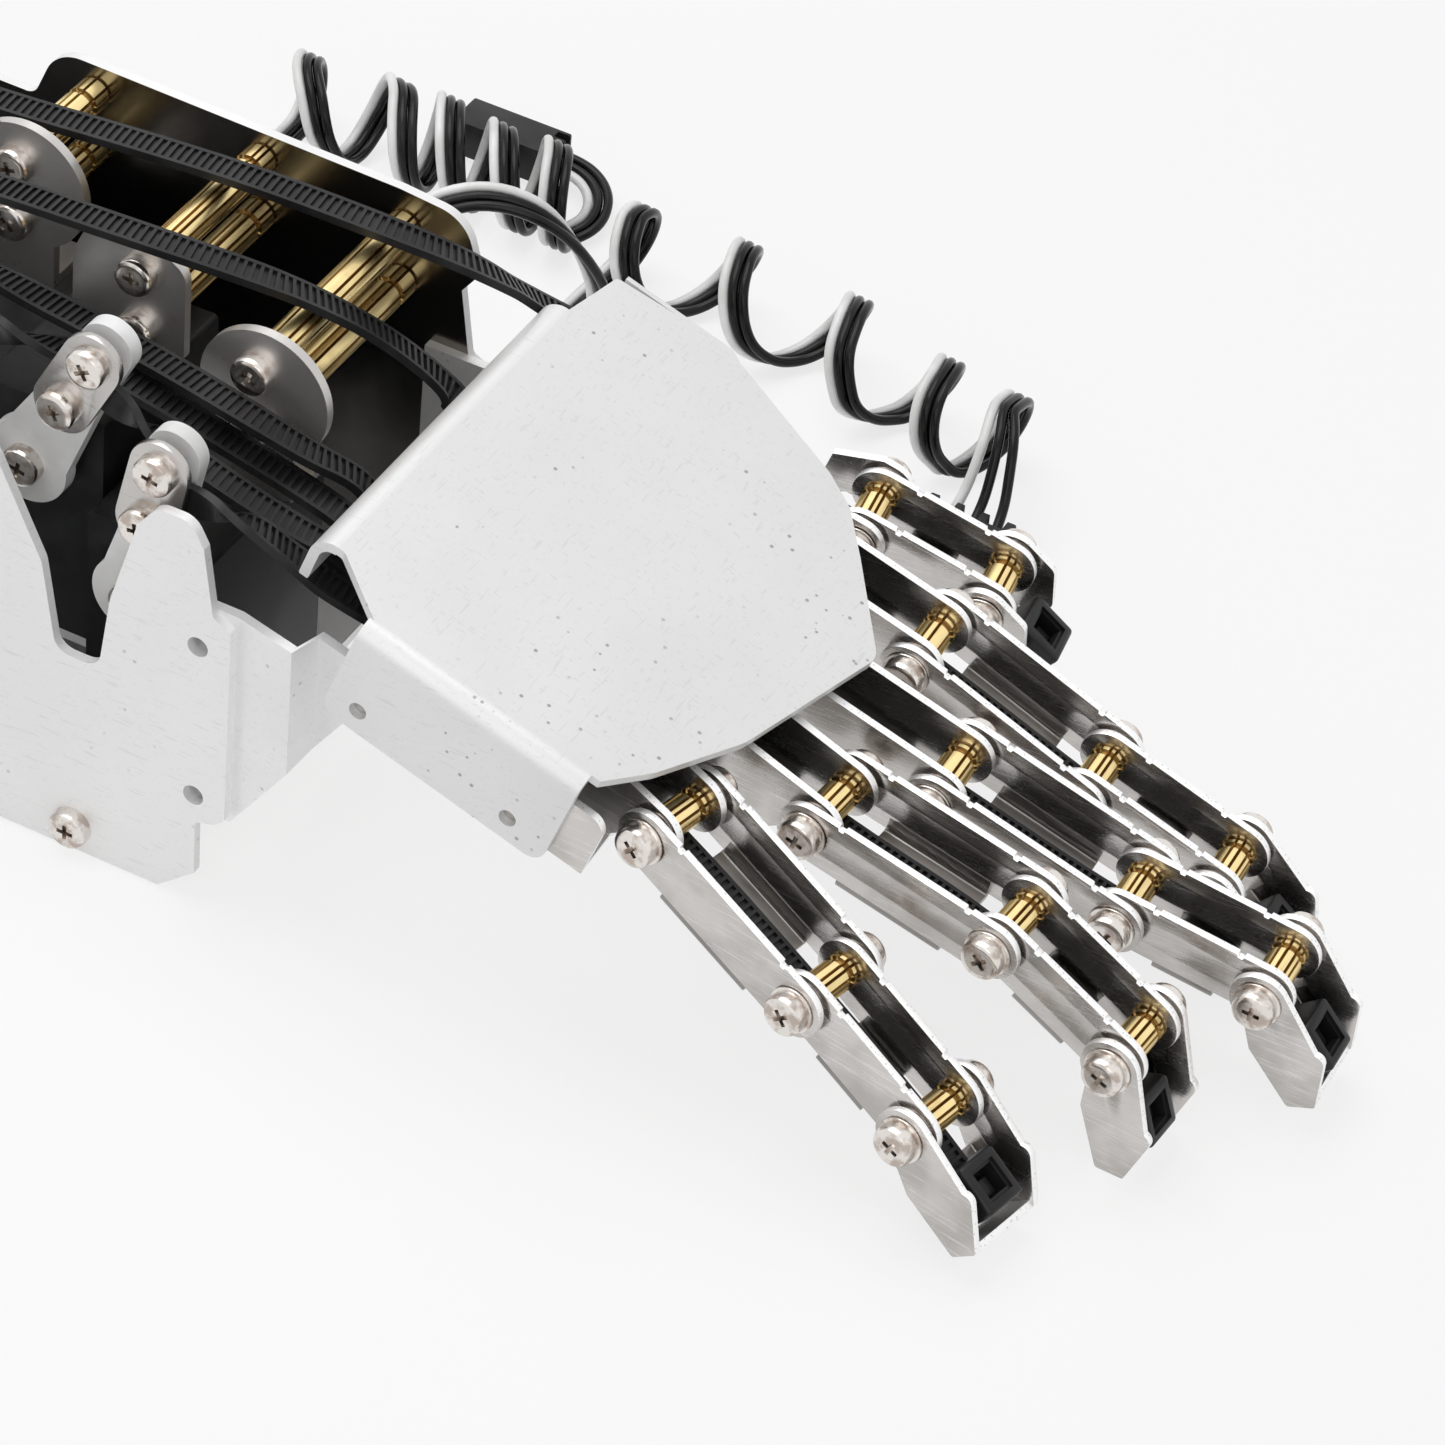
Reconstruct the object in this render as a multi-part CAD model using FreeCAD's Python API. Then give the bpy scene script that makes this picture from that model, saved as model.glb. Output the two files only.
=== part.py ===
import FreeCAD, Part
import math
import os

V = FreeCAD.Vector
Place = FreeCAD.Placement
Turn = FreeCAD.Rotation

# Driving dimensions in millimetres. X runs from forearm to fingers, Y to the thumb side, Z up.
LINK_SHEET = 1.2            # folded sheet of links and palm frame
PLATE_SHEET = 1.5           # forearm plates, wrist bracket and tabs
COVER_SHEET = 1.3           # palm cover
RUN_FIT = 0.08              # radial clearance of a screw that turns in its hole
FACE_FIT = 0.12             # clearance at the faces of a turning washer

# Joint stack of a finger, outwards from its middle plane
SPACER_HALF = 4.0           # half length of the brass spacer
SPACER_R = 2.5
PLATE_GAP = 0.8             # between inner and outer plates
SCREW_R = 1.5
HEAD_R = 3.0
HEAD_HIGH = 2.2
WASHER_R = 3.4
WASHER = 0.5
EAR_R = 4.3                 # round end of every link
WEB_DROP = 5.8              # web's lower face below the pivots
WEB_BACK = 6.5              # web starts this far from a pivot

# Finger chain
PROXIMAL = 29.5
MIDDLE = 22.1
TIP = 18.0
THUMB = 20.4
THUMB_TIP = 9.5
TONGUE = 26.0               # palm channel behind a knuckle

# Strap that pulls a finger
STRAP_WIDE = 4.8
STRAP_THICK = 1.2
STRAP_DROP = 3.4            # strap's middle below the pivots
STRAP_ROUND = 0.1           # how far a bend's filling disc stays inside the strap

# Palm: its own frame is u forward, v to the thumb side, h up, h = 0 on the cover's top
PALM_AT = V(21.8, 2.1, 62.8)
PALM_PITCH = 18.1
PIVOT_H = -8.0
FLOOR_TOP = -14.0
FLANGE_FACE = -3.7          # cover's side flange, outer face
FLANGE_LOW = -17.0
LIP_BACK = -9.3
LIP_R = 3.5
LIP_LOW = -8.3
LIP_NEAR = 5.8
LIP_FAR = 68.0
FRAME_REAR = 6.0

# Forearm box between its two side plates
BOX_WIDE = 69.5
BOX_REAR = -134.0
BOX_FRONT = 5.0
TRAY_TOP = 10.8
MOUNT_PITCH = 26.4
MOUNT_LOW = 19.1
MOUNT_R = 1.6
COLUMN_PITCH = 21.0
TIE_HIGH = 4.4

# Servo and horn
CASE_X = 19.8
CASE_Y = 29.5
CASE_Z = 39.0
SHAFT_DOWN = 8.0            # shaft below the case's top
SHAFT_R = 2.0
BOSS_R = 5.6
ARM_THICK = 2.5
ARM_R = 27.4                # outer clamp screw from the shaft
CLAMP_PITCH = 9.8
ARM_GAP = 1.2               # horn face from the strap's middle
CLAMP_GAP = 1.3
HORN_R = 6.5
ARM_TIP_R = 4.1

# Leads behind the hand
LEAD_R = 1.4
COIL_R = 8.5

FINGERS = [
    # name, pivot u, pivot v, splay, knuckle bend, middle bend, tip bend
    ("little", 50.2, 9.3, -10.8, 7.1, 2.4, 6.5),
    ("ring", 65.0, 27.5, -3.5, -7.3, 16.7, 41.8),
    ("middle", 75.0, 45.2, 1.8, -0.4, -9.2, 40.6),
    ("index", 61.3, 63.3, 1.8, 5.9, -3.9, 20.0),
]
THUMB_PIVOT = V(43.0, 82.0, -12.0)
THUMB_SPLAY = 8.0
THUMB_TIP_BEND = 22.0
SWING_PIN = V(27.0, 69.0, 0.0)
SWING_POST = V(12.0, 78.0, -12.0)

# Servo columns: name, shaft x, shaft z, strap lane y, side of the servo, horn tilt
SERVOS = [
    ("little", -14.9, 41.8, 6.5, 1, 12.0),
    ("ring", -36.7, 51.0, 13.5, 1, 27.0),
    ("middle", -57.5, 45.0, 20.0, 1, 14.0),
    ("index", -78.5, 51.0, 26.4, 1, 20.0),
    ("thumb", -99.5, 51.0, 33.0, 1, 14.0),
    ("swing", -120.5, 51.0, 53.0, -1, 14.0),
]

INNER = SPACER_HALF
OUTER = SPACER_HALF + LINK_SHEET + PLATE_GAP
HEAD_FROM = OUTER + LINK_SHEET + WASHER

nodes = {}


def palm(u, v, h):
    """World point of a place in the palm's frame."""
    return palm_frame.multVec(V(u, v, h))


palm_frame = Place(PALM_AT, Turn(V(0, 1, 0), PALM_PITCH))


def within(base, at, axis, degrees):
    """A placement inside base, moved to at and then turned about a local axis."""
    return base.multiply(Place(at, Turn(axis, degrees)))


def placed(shape, placement):
    """A copy of the shape at a placement."""
    copy = shape.copy()
    copy.transformShape(placement.toMatrix(), True)
    return copy


def fused(shapes):
    """One solid from touching or overlapping solids."""
    first = shapes[0]
    if len(shapes) == 1:
        return first
    return first.multiFuse(shapes[1:]).removeSplitter()


def group(shapes):
    """Separate solids kept together."""
    return Part.makeCompound(shapes)


def rounded_face(corners):
    """A face in the XY plane. Each corner is (x, y) or (x, y, radius)."""
    count = len(corners)
    bends = []
    for i in range(count):
        here = V(corners[i][0], corners[i][1], 0)
        radius = corners[i][2] if len(corners[i]) > 2 else 0
        if radius == 0:
            bends.append((here, None, here))
            continue
        last = corners[i - 1]
        following = corners[(i + 1) % count]
        to_last = (V(last[0], last[1], 0) - here).normalize()
        to_next = (V(following[0], following[1], 0) - here).normalize()
        half = to_last.getAngle(to_next) / 2
        reach = radius / math.tan(half)
        inward = (to_last + to_next).normalize()
        centre = here + inward * (radius / math.sin(half))
        bends.append((here + to_last * reach, centre - inward * radius, here + to_next * reach))
    edges = []
    for i in range(count):
        start, middle, end = bends[i]
        if middle is not None:
            edges.append(Part.Arc(start, middle, end).toShape())
        following = bends[(i + 1) % count][0]
        if end.distanceToPoint(following) > 1e-6:
            edges.append(Part.makeLine(end, following))
    return Part.Face(Part.Wire(edges))


def flat(corners, low, high):
    """A plate parallel to XY between two heights."""
    face = rounded_face(corners)
    face.translate(V(0, 0, low))
    return face.extrude(V(0, 0, high - low))


def upright(corners, near, far):
    """A plate in the XZ plane between two values of y. Corners are (x, z)."""
    plate = flat(corners, -far, -near)
    return placed(plate, Place(V(0, 0, 0), Turn(V(1, 0, 0), 90)))


def along_x(corners, start, end):
    """A section of (y, z) corners carried along x."""
    bar = flat(corners, start, end)
    return placed(bar, Place(V(0, 0, 0), Turn(V(1, 1, 1), 120)))


def rod(x, z, radius, near, far):
    """A round bar along Y."""
    return Part.makeCylinder(radius, far - near, V(x, near, z), V(0, 1, 0))


def box(x0, x1, y0, y1, z0, z1):
    """A box between two corners."""
    return Part.makeBox(x1 - x0, y1 - y0, z1 - z0, V(x0, y0, z0))


def bar(start, end, radius, low, high):
    """A flat bar with round ends about two points, between two heights."""
    along = V(end.x - start.x, end.y - start.y, 0)
    place = Place(V(start.x, start.y, 0), Turn(V(1, 0, 0), along))
    r = radius
    plate = flat([(-r, -r, r), (along.Length + r, -r, r), (along.Length + r, r, r), (-r, r, r)], low, high)
    return placed(plate, place)


def channel(half_wide, low, high, start, end):
    """A folded channel section open at the top."""
    fold = LINK_SHEET
    inner = half_wide - LINK_SHEET
    corners = [
        (-half_wide, high), (-half_wide, low, fold), (half_wide, low, fold), (half_wide, high),
        (inner, high), (inner, low + LINK_SHEET, fold / 4), (-inner, low + LINK_SHEET, fold / 4), (-inner, high),
    ]
    return along_x(corners, start, end)


def both_sides(corners, face):
    """A pair of plates whose inner faces lie at +face and -face."""
    return [upright(corners, face, face + LINK_SHEET), upright(corners, -face - LINK_SHEET, -face)]


def capsule(length):
    """The side outline of a link with round ends about two pivots."""
    r = EAR_R
    return [(-r, -r, r), (length + r, -r, r), (length + r, r, r), (-r, r, r)]


def link(length, face, holes):
    """A U link: two plates with round ends, and a web below them between two windows."""
    plates = both_sides(capsule(length), face)
    web = channel(face + LINK_SHEET, -WEB_DROP, -EAR_R / 2, WEB_BACK, length - WEB_BACK)
    body = fused(plates + [web])
    wide = face + 2 * LINK_SHEET
    for x, radius in zip((0, length), holes):
        body = body.cut(rod(x, 0, radius, -wide, wide))
    return body


def tip_link(length, face):
    """The last link: two ears, five-sided walls, a short web and a closed front."""
    reach = length - 1.4
    wall = [
        (-EAR_R, -EAR_R, EAR_R), (3.0, -EAR_R), (WEB_BACK, -WEB_DROP), (reach, -WEB_DROP, 0.6),
        (length, -1.8, 0.5), (length * 0.62, EAR_R, 1.5), (-EAR_R, EAR_R, EAR_R),
    ]
    plates = both_sides(wall, face)
    web = channel(face + LINK_SHEET, -WEB_DROP, -EAR_R / 2, WEB_BACK, reach - LINK_SHEET)
    front = upright([
        (reach - LINK_SHEET, -WEB_DROP), (reach, -WEB_DROP), (length, -1.8), (length - LINK_SHEET, -1.8),
    ], -face - LINK_SHEET, face + LINK_SHEET)
    body = fused(plates + [web, front])
    wide = face + 2 * LINK_SHEET
    return body.cut(rod(0, 0, SCREW_R + RUN_FIT, -wide, wide))


def pivot_set(x):
    """Brass spacer with the two screws and washers that hold an inner and an outer plate pair."""
    pieces = [rod(x, 0, SPACER_R, -SPACER_HALF, SPACER_HALF)]
    for side in (-1, 1):
        stack = [
            (SCREW_R, SPACER_HALF, HEAD_FROM),
            (WASHER_R, SPACER_HALF + LINK_SHEET, OUTER - FACE_FIT),
            (WASHER_R, OUTER + LINK_SHEET + FACE_FIT, HEAD_FROM),
            (HEAD_R, HEAD_FROM, HEAD_FROM + HEAD_HIGH),
        ]
        for radius, start, end in stack:
            pieces.append(rod(x, 0, radius, min(side * start, side * end), max(side * start, side * end)))
    return fused(pieces)


def frame_of(direction, across, at):
    """A placement whose x is the direction and whose y lies nearest to across."""
    x = V(direction).normalize()
    z = x.cross(across).normalize()
    y = z.cross(x).normalize()
    return Place(at, Turn(x, y, z, "XYZ"))


def strap(points, across, clamp_points):
    """A flat strap through points, on edge inside its clamp and lying flat after it."""
    pieces = []
    half = STRAP_WIDE / 2
    thin = STRAP_THICK / 2
    start, leave = clamp_points
    run = frame_of(leave - start, across, start)
    length = (leave - start).Length
    pieces.append(placed(box(0, length, -thin, thin, -half, half), run))
    path = [leave] + points
    for i in range(len(path) - 1):
        run = frame_of(path[i + 1] - path[i], across, path[i])
        length = (path[i + 1] - path[i]).Length
        pieces.append(placed(box(0, length, -half, half, -thin, thin), run))
        if i > 0:
            knee = Part.makeCylinder(half - STRAP_ROUND, STRAP_THICK - STRAP_ROUND, V(0, 0, -thin + STRAP_ROUND / 2))
            pieces.append(placed(knee, run))
    return pieces


def strap_head(frame, x):
    """The square head at the end of a strap, with its slot."""
    wide = 3.7
    body = box(x, x + 7.6, -wide, wide, -STRAP_DROP - 0.6, 1.6)
    slot = box(x + 2.0, x + 5.4, -wide + 1.2, wide - 1.2, -STRAP_DROP + 1.0, 3.0)
    return placed(body.cut(slot), frame)


def bend_point(length, degrees):
    """Where the strap's middle line bends under a pivot, in the frame of the piece before it."""
    return V(length - STRAP_DROP * math.tan(math.radians(degrees) / 2), 0, -STRAP_DROP)


def side_profile():
    """Front end of a forearm side plate, from its top down to its foot, as (x, z)."""
    low = MOUNT_LOW
    return [
        (BOX_FRONT - 4.5, 62.5), (2.2, 51.6, 1.0), (BOX_FRONT, 50.1, 0.8), (BOX_FRONT, low - 2.4, 0.8),
        (3.4, low - 3.8), (BOX_FRONT - 4.6, low - 4.7, 0.8), (BOX_FRONT - 4.5, 5.0), (-5.2, 0.0), (BOX_REAR, 0.0),
    ]


def near_plate():
    """Side plate with humps between U notches that leave room for the horns."""
    notch = 2 * COLUMN_PITCH
    outline = [(BOX_REAR, 60.0, 3.0)]
    centres = [-18.8 - notch * i for i in (2, 1, 0)]
    for centre in centres:
        outline += [
            (centre - 14.0, 65.8, 4.0), (centre - 5.8, 49.0, 4.0), (centre - 3.4, 34.6, 2.6),
            (centre + 3.4, 34.6, 2.6), (centre + 5.0, 47.3, 4.0), (centre + 9.0, 62.0, 3.0),
            (centre + 12.0, 66.2, 2.5),
        ]
    outline.append((-1.6, 66.2, 3.0))
    outline += side_profile()
    plate = upright(outline, 0, PLATE_SHEET)
    return plate


def far_plate():
    """Taller side plate that carries the brass spacers."""
    y = BOX_WIDE - PLATE_SHEET
    outline = [
        (BOX_REAR, 67.7, 3.0), (-69.8, 67.7, 2.0), (-66.2, 76.6, 6.0), (-10.2, 75.6, 4.0), (0.4, 74.6, 6.0),
        (3.0, 66.0, 3.0),
    ]
    outline += side_profile()
    return upright(outline, y, BOX_WIDE)


def drilled_plates():
    """Both side plates with the mount holes and the tie screw holes."""
    near = near_plate()
    far = far_plate()
    tools = [rod(0, MOUNT_LOW + i * MOUNT_PITCH, MOUNT_R, -1, BOX_WIDE + 1) for i in (0, 1)]
    tools += [rod(x, TIE_HIGH, SCREW_R, -1, BOX_WIDE + 1) for x in TIES]
    near = near.cut(group(tools))
    tools += [rod(x, z, SCREW_R, BOX_WIDE - 3, BOX_WIDE + 1) for name, x, z, y in TAB_SCREWS]
    tools += [rod(x, z, LEAD_R, BOX_WIDE - 3, BOX_WIDE + 1) for x, z in EXITS]
    far = far.cut(group(tools))
    return near, far


def face_screw(x, z, y, side, shank):
    """A pan screw on a face at y, its head on the given side and its shank going the other way."""
    head = rod(x, z, HEAD_R, min(y, y + side * HEAD_HIGH), max(y, y + side * HEAD_HIGH))
    inner = y - side * shank
    return head.fuse(rod(x, z, SCREW_R, min(y, inner), max(y, inner)))


TIES = [-19.1, -67.0, -115.0]
TAB_UPPER = [(-59.7, 72.0, 47.5), (-32.3, 71.7, 36.0), (-9.1, 69.8, 28.3)]
TAB_PITCH = 9.4
TAB_SCREWS = []
for x, z, y in TAB_UPPER:
    TAB_SCREWS.append(("upper", x, z, y))
    TAB_SCREWS.append(("lower", x, z - TAB_PITCH, y))
EXITS = [(-20.0, 54.0), (-95.0, 20.0)]


def tab(x, z, y, case_top, rounded):
    """A tab plate on two spacers, with a neck and a foot on the servo below it."""
    middle = z - TAB_PITCH / 2
    if rounded:
        disc = rod(x + 1.4, middle + 1.4, 10.0, y, y + PLATE_SHEET)
        neck = box(x - 3.6, x + 6.4, y, y + PLATE_SHEET, case_top, middle)
    else:
        corners = [
            (x - 10.6, case_top, 1.5), (x + 7.4, case_top, 1.5), (x + 7.4, z + 2.5, 3.0), (x + 1.5, z + 6.2, 6.0),
            (x - 8.0, z + 5.4, 4.0), (x - 10.6, z - 0.5, 2.0),
        ]
        disc = upright(corners, y, y + PLATE_SHEET)
        neck = disc
    foot_end = x + 6.4 if rounded else x - SPACER_R - 0.6
    foot = box(foot_end - 7.0, foot_end, y, y + 9.0, case_top, case_top + PLATE_SHEET)
    plate = fused([disc, neck, foot])
    for high in (z, z - TAB_PITCH):
        plate = plate.cut(rod(x, high, SCREW_R, y - 1, y + 3))
    return plate


def forearm():
    """Side plates, rear plate, spacers, tabs, tray and screws."""
    inner_far = BOX_WIDE - PLATE_SHEET
    nodes["near_side_plate"], nodes["far_side_plate"] = drilled_plates()
    rear = box(BOX_REAR, BOX_REAR + PLATE_SHEET, PLATE_SHEET, inner_far, 1.0, 58.0)
    ears = [
        box(BOX_REAR, BOX_REAR + 9.0, PLATE_SHEET, 2 * PLATE_SHEET, 1.0, 58.0),
        box(BOX_REAR, BOX_REAR + 9.0, inner_far - PLATE_SHEET, inner_far, 1.0, 58.0),
    ]
    nodes["rear_plate"] = fused([rear] + ears)
    spacers = []
    screws = []
    for name, x, z, y in TAB_SCREWS:
        spacers.append(rod(x, z, SPACER_R, y + PLATE_SHEET, inner_far))
        screws.append(face_screw(x, z, y, -1, PLATE_SHEET))
        screws.append(face_screw(x, z, BOX_WIDE, 1, PLATE_SHEET))
    for x in TIES:
        spacers.append(rod(x, TIE_HIGH, SPACER_R, PLATE_SHEET, inner_far))
        screws.append(face_screw(x, TIE_HIGH, 0, -1, PLATE_SHEET))
        screws.append(face_screw(x, TIE_HIGH, BOX_WIDE, 1, PLATE_SHEET))
    nodes["spacers"] = group(spacers)
    nodes["forearm_screws"] = group(screws)
    tops = {name: z + SHAFT_DOWN for name, x, z, lane, side, tilt in SERVOS}
    carried = [("middle", True), ("ring", False), ("little", True)]
    tabs = []
    for (x, z, y), (name, rounded) in zip(TAB_UPPER, carried):
        tabs.append(tab(x, z, y, tops[name], rounded))
    nodes["servo_tabs"] = group(tabs)
    tray = [
        box(BOX_REAR + 12.0, -4.0, PLATE_SHEET, inner_far, TRAY_TOP - PLATE_SHEET, TRAY_TOP),
        box(BOX_REAR + 12.0, -4.0, PLATE_SHEET, 2 * PLATE_SHEET, TRAY_TOP - 3.6, TRAY_TOP),
        box(BOX_REAR + 12.0, -4.0, inner_far - PLATE_SHEET, inner_far, TRAY_TOP - 3.6, TRAY_TOP),
    ]
    for name, x, z, lane, side, tilt in SERVOS:
        seat = z + SHAFT_DOWN - CASE_Z
        if seat > TRAY_TOP + 0.1:
            start, end = case_span(lane, side)
            for leg in (x - CASE_X / 2, x + CASE_X / 2 - PLATE_SHEET):
                tray.append(box(leg, leg + PLATE_SHEET, start, end, TRAY_TOP - 0.5, seat))
            tray.append(box(x - CASE_X / 2, x + CASE_X / 2, start, end, seat - PLATE_SHEET, seat))
    nodes["servo_tray"] = fused(tray)


def case_span(lane, side):
    """The y values between which a servo's case lies."""
    front = lane + side * (ARM_GAP + ARM_THICK + 1.6)
    back = front + side * CASE_Y
    return min(front, back), max(front, back)


def servo(x, z, lane, side):
    """A servo case with its boss and output shaft."""
    start, end = case_span(lane, side)
    top = z + SHAFT_DOWN
    corners = [
        (x - CASE_X / 2, top - CASE_Z, 0.8), (x + CASE_X / 2, top - CASE_Z, 0.8), (x + CASE_X / 2, top, 0.8),
        (x - CASE_X / 2, top, 0.8),
    ]
    case = upright(corners, start, end)
    face = start if side > 0 else end
    boss_end = face - side * 1.3
    boss = rod(x, z, BOSS_R, min(face, boss_end), max(face, boss_end))
    shaft_end = lane + side * (ARM_GAP + 0.9)
    shaft = rod(x, z, SHAFT_R, min(face, shaft_end), max(face, shaft_end))
    return fused([case, boss, shaft])


def horn_parts(x, z, lane, side, tilt):
    """A servo horn, and the clamp plate with its screws, both in the world frame."""
    up = Place(V(x, 0, z), Turn(V(0, 1, 0), tilt))
    face = lane + side * ARM_GAP
    back = face + side * ARM_THICK
    y0, y1 = min(face, back), max(face, back)
    hub = rod(0, 0, HORN_R, y0, y1)
    arm = upright([
        (-HORN_R + 0.6, 0), (HORN_R - 0.6, 0), (ARM_TIP_R, ARM_R - CLAMP_PITCH), (ARM_TIP_R, ARM_R + ARM_TIP_R, 4.0),
        (-ARM_TIP_R, ARM_R + ARM_TIP_R, 4.0), (-ARM_TIP_R, ARM_R - CLAMP_PITCH),
    ], y0, y1)
    horn = fused([hub, arm])
    socket_from = face + side * 0.8
    horn = horn.cut(rod(0, 0, SHAFT_R + RUN_FIT, min(socket_from, back), max(socket_from, back)))
    plate_in = lane - side * CLAMP_GAP
    plate_out = plate_in - side * LINK_SHEET
    low = ARM_R - CLAMP_PITCH
    r = 4.5
    plate = upright([
        (-r, low - r, r), (r, low - r, r), (r, ARM_R + r, r), (-r, ARM_R + r, r),
    ], min(plate_in, plate_out), max(plate_in, plate_out))
    metal = []
    for high in (low, ARM_R):
        shank = rod(0, high, SCREW_R, min(plate_out, back), max(plate_out, back))
        horn = horn.cut(rod(0, high, SCREW_R, y0 - 1, y1 + 1))
        head_end = plate_out - side * HEAD_HIGH
        metal += [shank, rod(0, high, HEAD_R, min(plate_out, head_end), max(plate_out, head_end))]
    clamp = fused([plate] + metal)
    hub_end = face - side * 1.9
    hub_screw = rod(0, 0, HEAD_R, min(face, hub_end), max(face, hub_end))
    return placed(horn, up), placed(group([clamp, hub_screw]), up)


def clamp_run(name):
    """Start and end of the strap's stretch inside its clamp."""
    for servo_name, x, z, lane, side, tilt in SERVOS:
        if servo_name == name:
            radius = ARM_R - CLAMP_PITCH / 2
            lean = math.radians(tilt)
            centre = V(x + radius * math.sin(lean), lane, z + radius * math.cos(lean))
            along = V(math.cos(lean), 0, -math.sin(lean)) if tilt > 20 else V(1, 0, 0)
            return centre - along * 4.0, centre + along * 7.0


ROUTES = {
    "little": [V(3.6, 7.8, 62.9)],
    "ring": [V(-14.0, 13.5, 65.4), V(-2.5, 14.0, 61.2), V(6.5, 15.6, 57.3)],
    "middle": [V(-36.0, 20.2, 68.0), V(-23.6, 20.4, 66.6), V(-6.8, 20.6, 62.8), V(6.8, 22.0, 58.0)],
    "index": [V(-50.0, 26.4, 70.0), V(-24.0, 24.2, 69.0), V(-7.1, 22.6, 67.2), V(2.0, 24.6, 62.9), V(7.4, 27.9, 59.2)],
    "thumb": [V(-70.0, 33.0, 77.5), V(-53.0, 33.1, 79.2), V(-33.5, 33.2, 80.2), V(-14.9, 37.4, 77.8),
              V(-7.2, 41.7, 74.0), V(0.2, 47.3, 67.6), V(7.7, 52.0, 59.4)],
    "swing": [V(-88.0, 53.0, 75.4), V(-65.4, 53.4, 76.2), V(-46.7, 55.4, 76.6), V(-27.2, 57.4, 76.6),
              V(-7.4, 59.2, 75.4), V(4.8, 65.0, 70.2), V(11.2, 73.0, 61.2)],
}
ENTRY = {"little": 8.8, "ring": 14.4, "middle": 20.2, "index": 26.6, "thumb": 49.0, "swing": 70.9}


def finger_frames(u, v, splay, bends, lengths):
    """Frames of a finger's moving pieces, and of its knuckle at rest."""
    base = within(palm_frame, V(u, v, PIVOT_H), V(0, 0, 1), splay)
    frames = [base]
    reach = 0
    for bend, length in zip(bends, lengths):
        frames.append(within(frames[-1], V(reach, 0, 0), V(0, 1, 0), bend))
        reach = length
    return frames


def fingers():
    """Four fingers of three links, each with its straps and pivots."""
    proximal = link(PROXIMAL, OUTER, (SCREW_R + RUN_FIT, SCREW_R + RUN_FIT))
    middle = link(MIDDLE, INNER, (SCREW_R, SCREW_R))
    tip = tip_link(TIP, OUTER)
    knuckles = []
    for name, u, v, splay, bend_1, bend_2, bend_3 in FINGERS:
        base, first, second, third = finger_frames(u, v, splay, (bend_1, bend_2, bend_3), (PROXIMAL, MIDDLE, TIP))
        knuckles.append(placed(pivot_set(0), base))
        nodes[name + "_proximal_link"] = placed(proximal, first)
        nodes[name + "_middle_link"] = placed(middle, second)
        nodes[name + "_tip_link"] = placed(tip, third)
        nodes[name + "_pivots"] = group([placed(pivot_set(0), second), placed(pivot_set(MIDDLE), second)])
        entry = [palm(LIP_BACK - 0.2, ENTRY[name], LIP_LOW - 1.7), palm(-3.0, ENTRY[name] + 0.6, -10.8)]
        inside = [
            base.multVec(V(-TONGUE + 1, 0, -STRAP_DROP)),
            base.multVec(bend_point(0, bend_1)),
            first.multVec(bend_point(PROXIMAL, bend_2)),
            second.multVec(bend_point(MIDDLE, bend_3)),
            third.multVec(V(TIP * 0.42 + 1, 0, -STRAP_DROP)),
        ]
        points = ROUTES[name] + entry + inside
        solid = fused(strap(points, V(0, 1, 0), clamp_run(name)) + [strap_head(third, TIP * 0.42)])
        nodes[name + "_strap"] = solid
    nodes["palm_pivots"] = group(knuckles)


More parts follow.
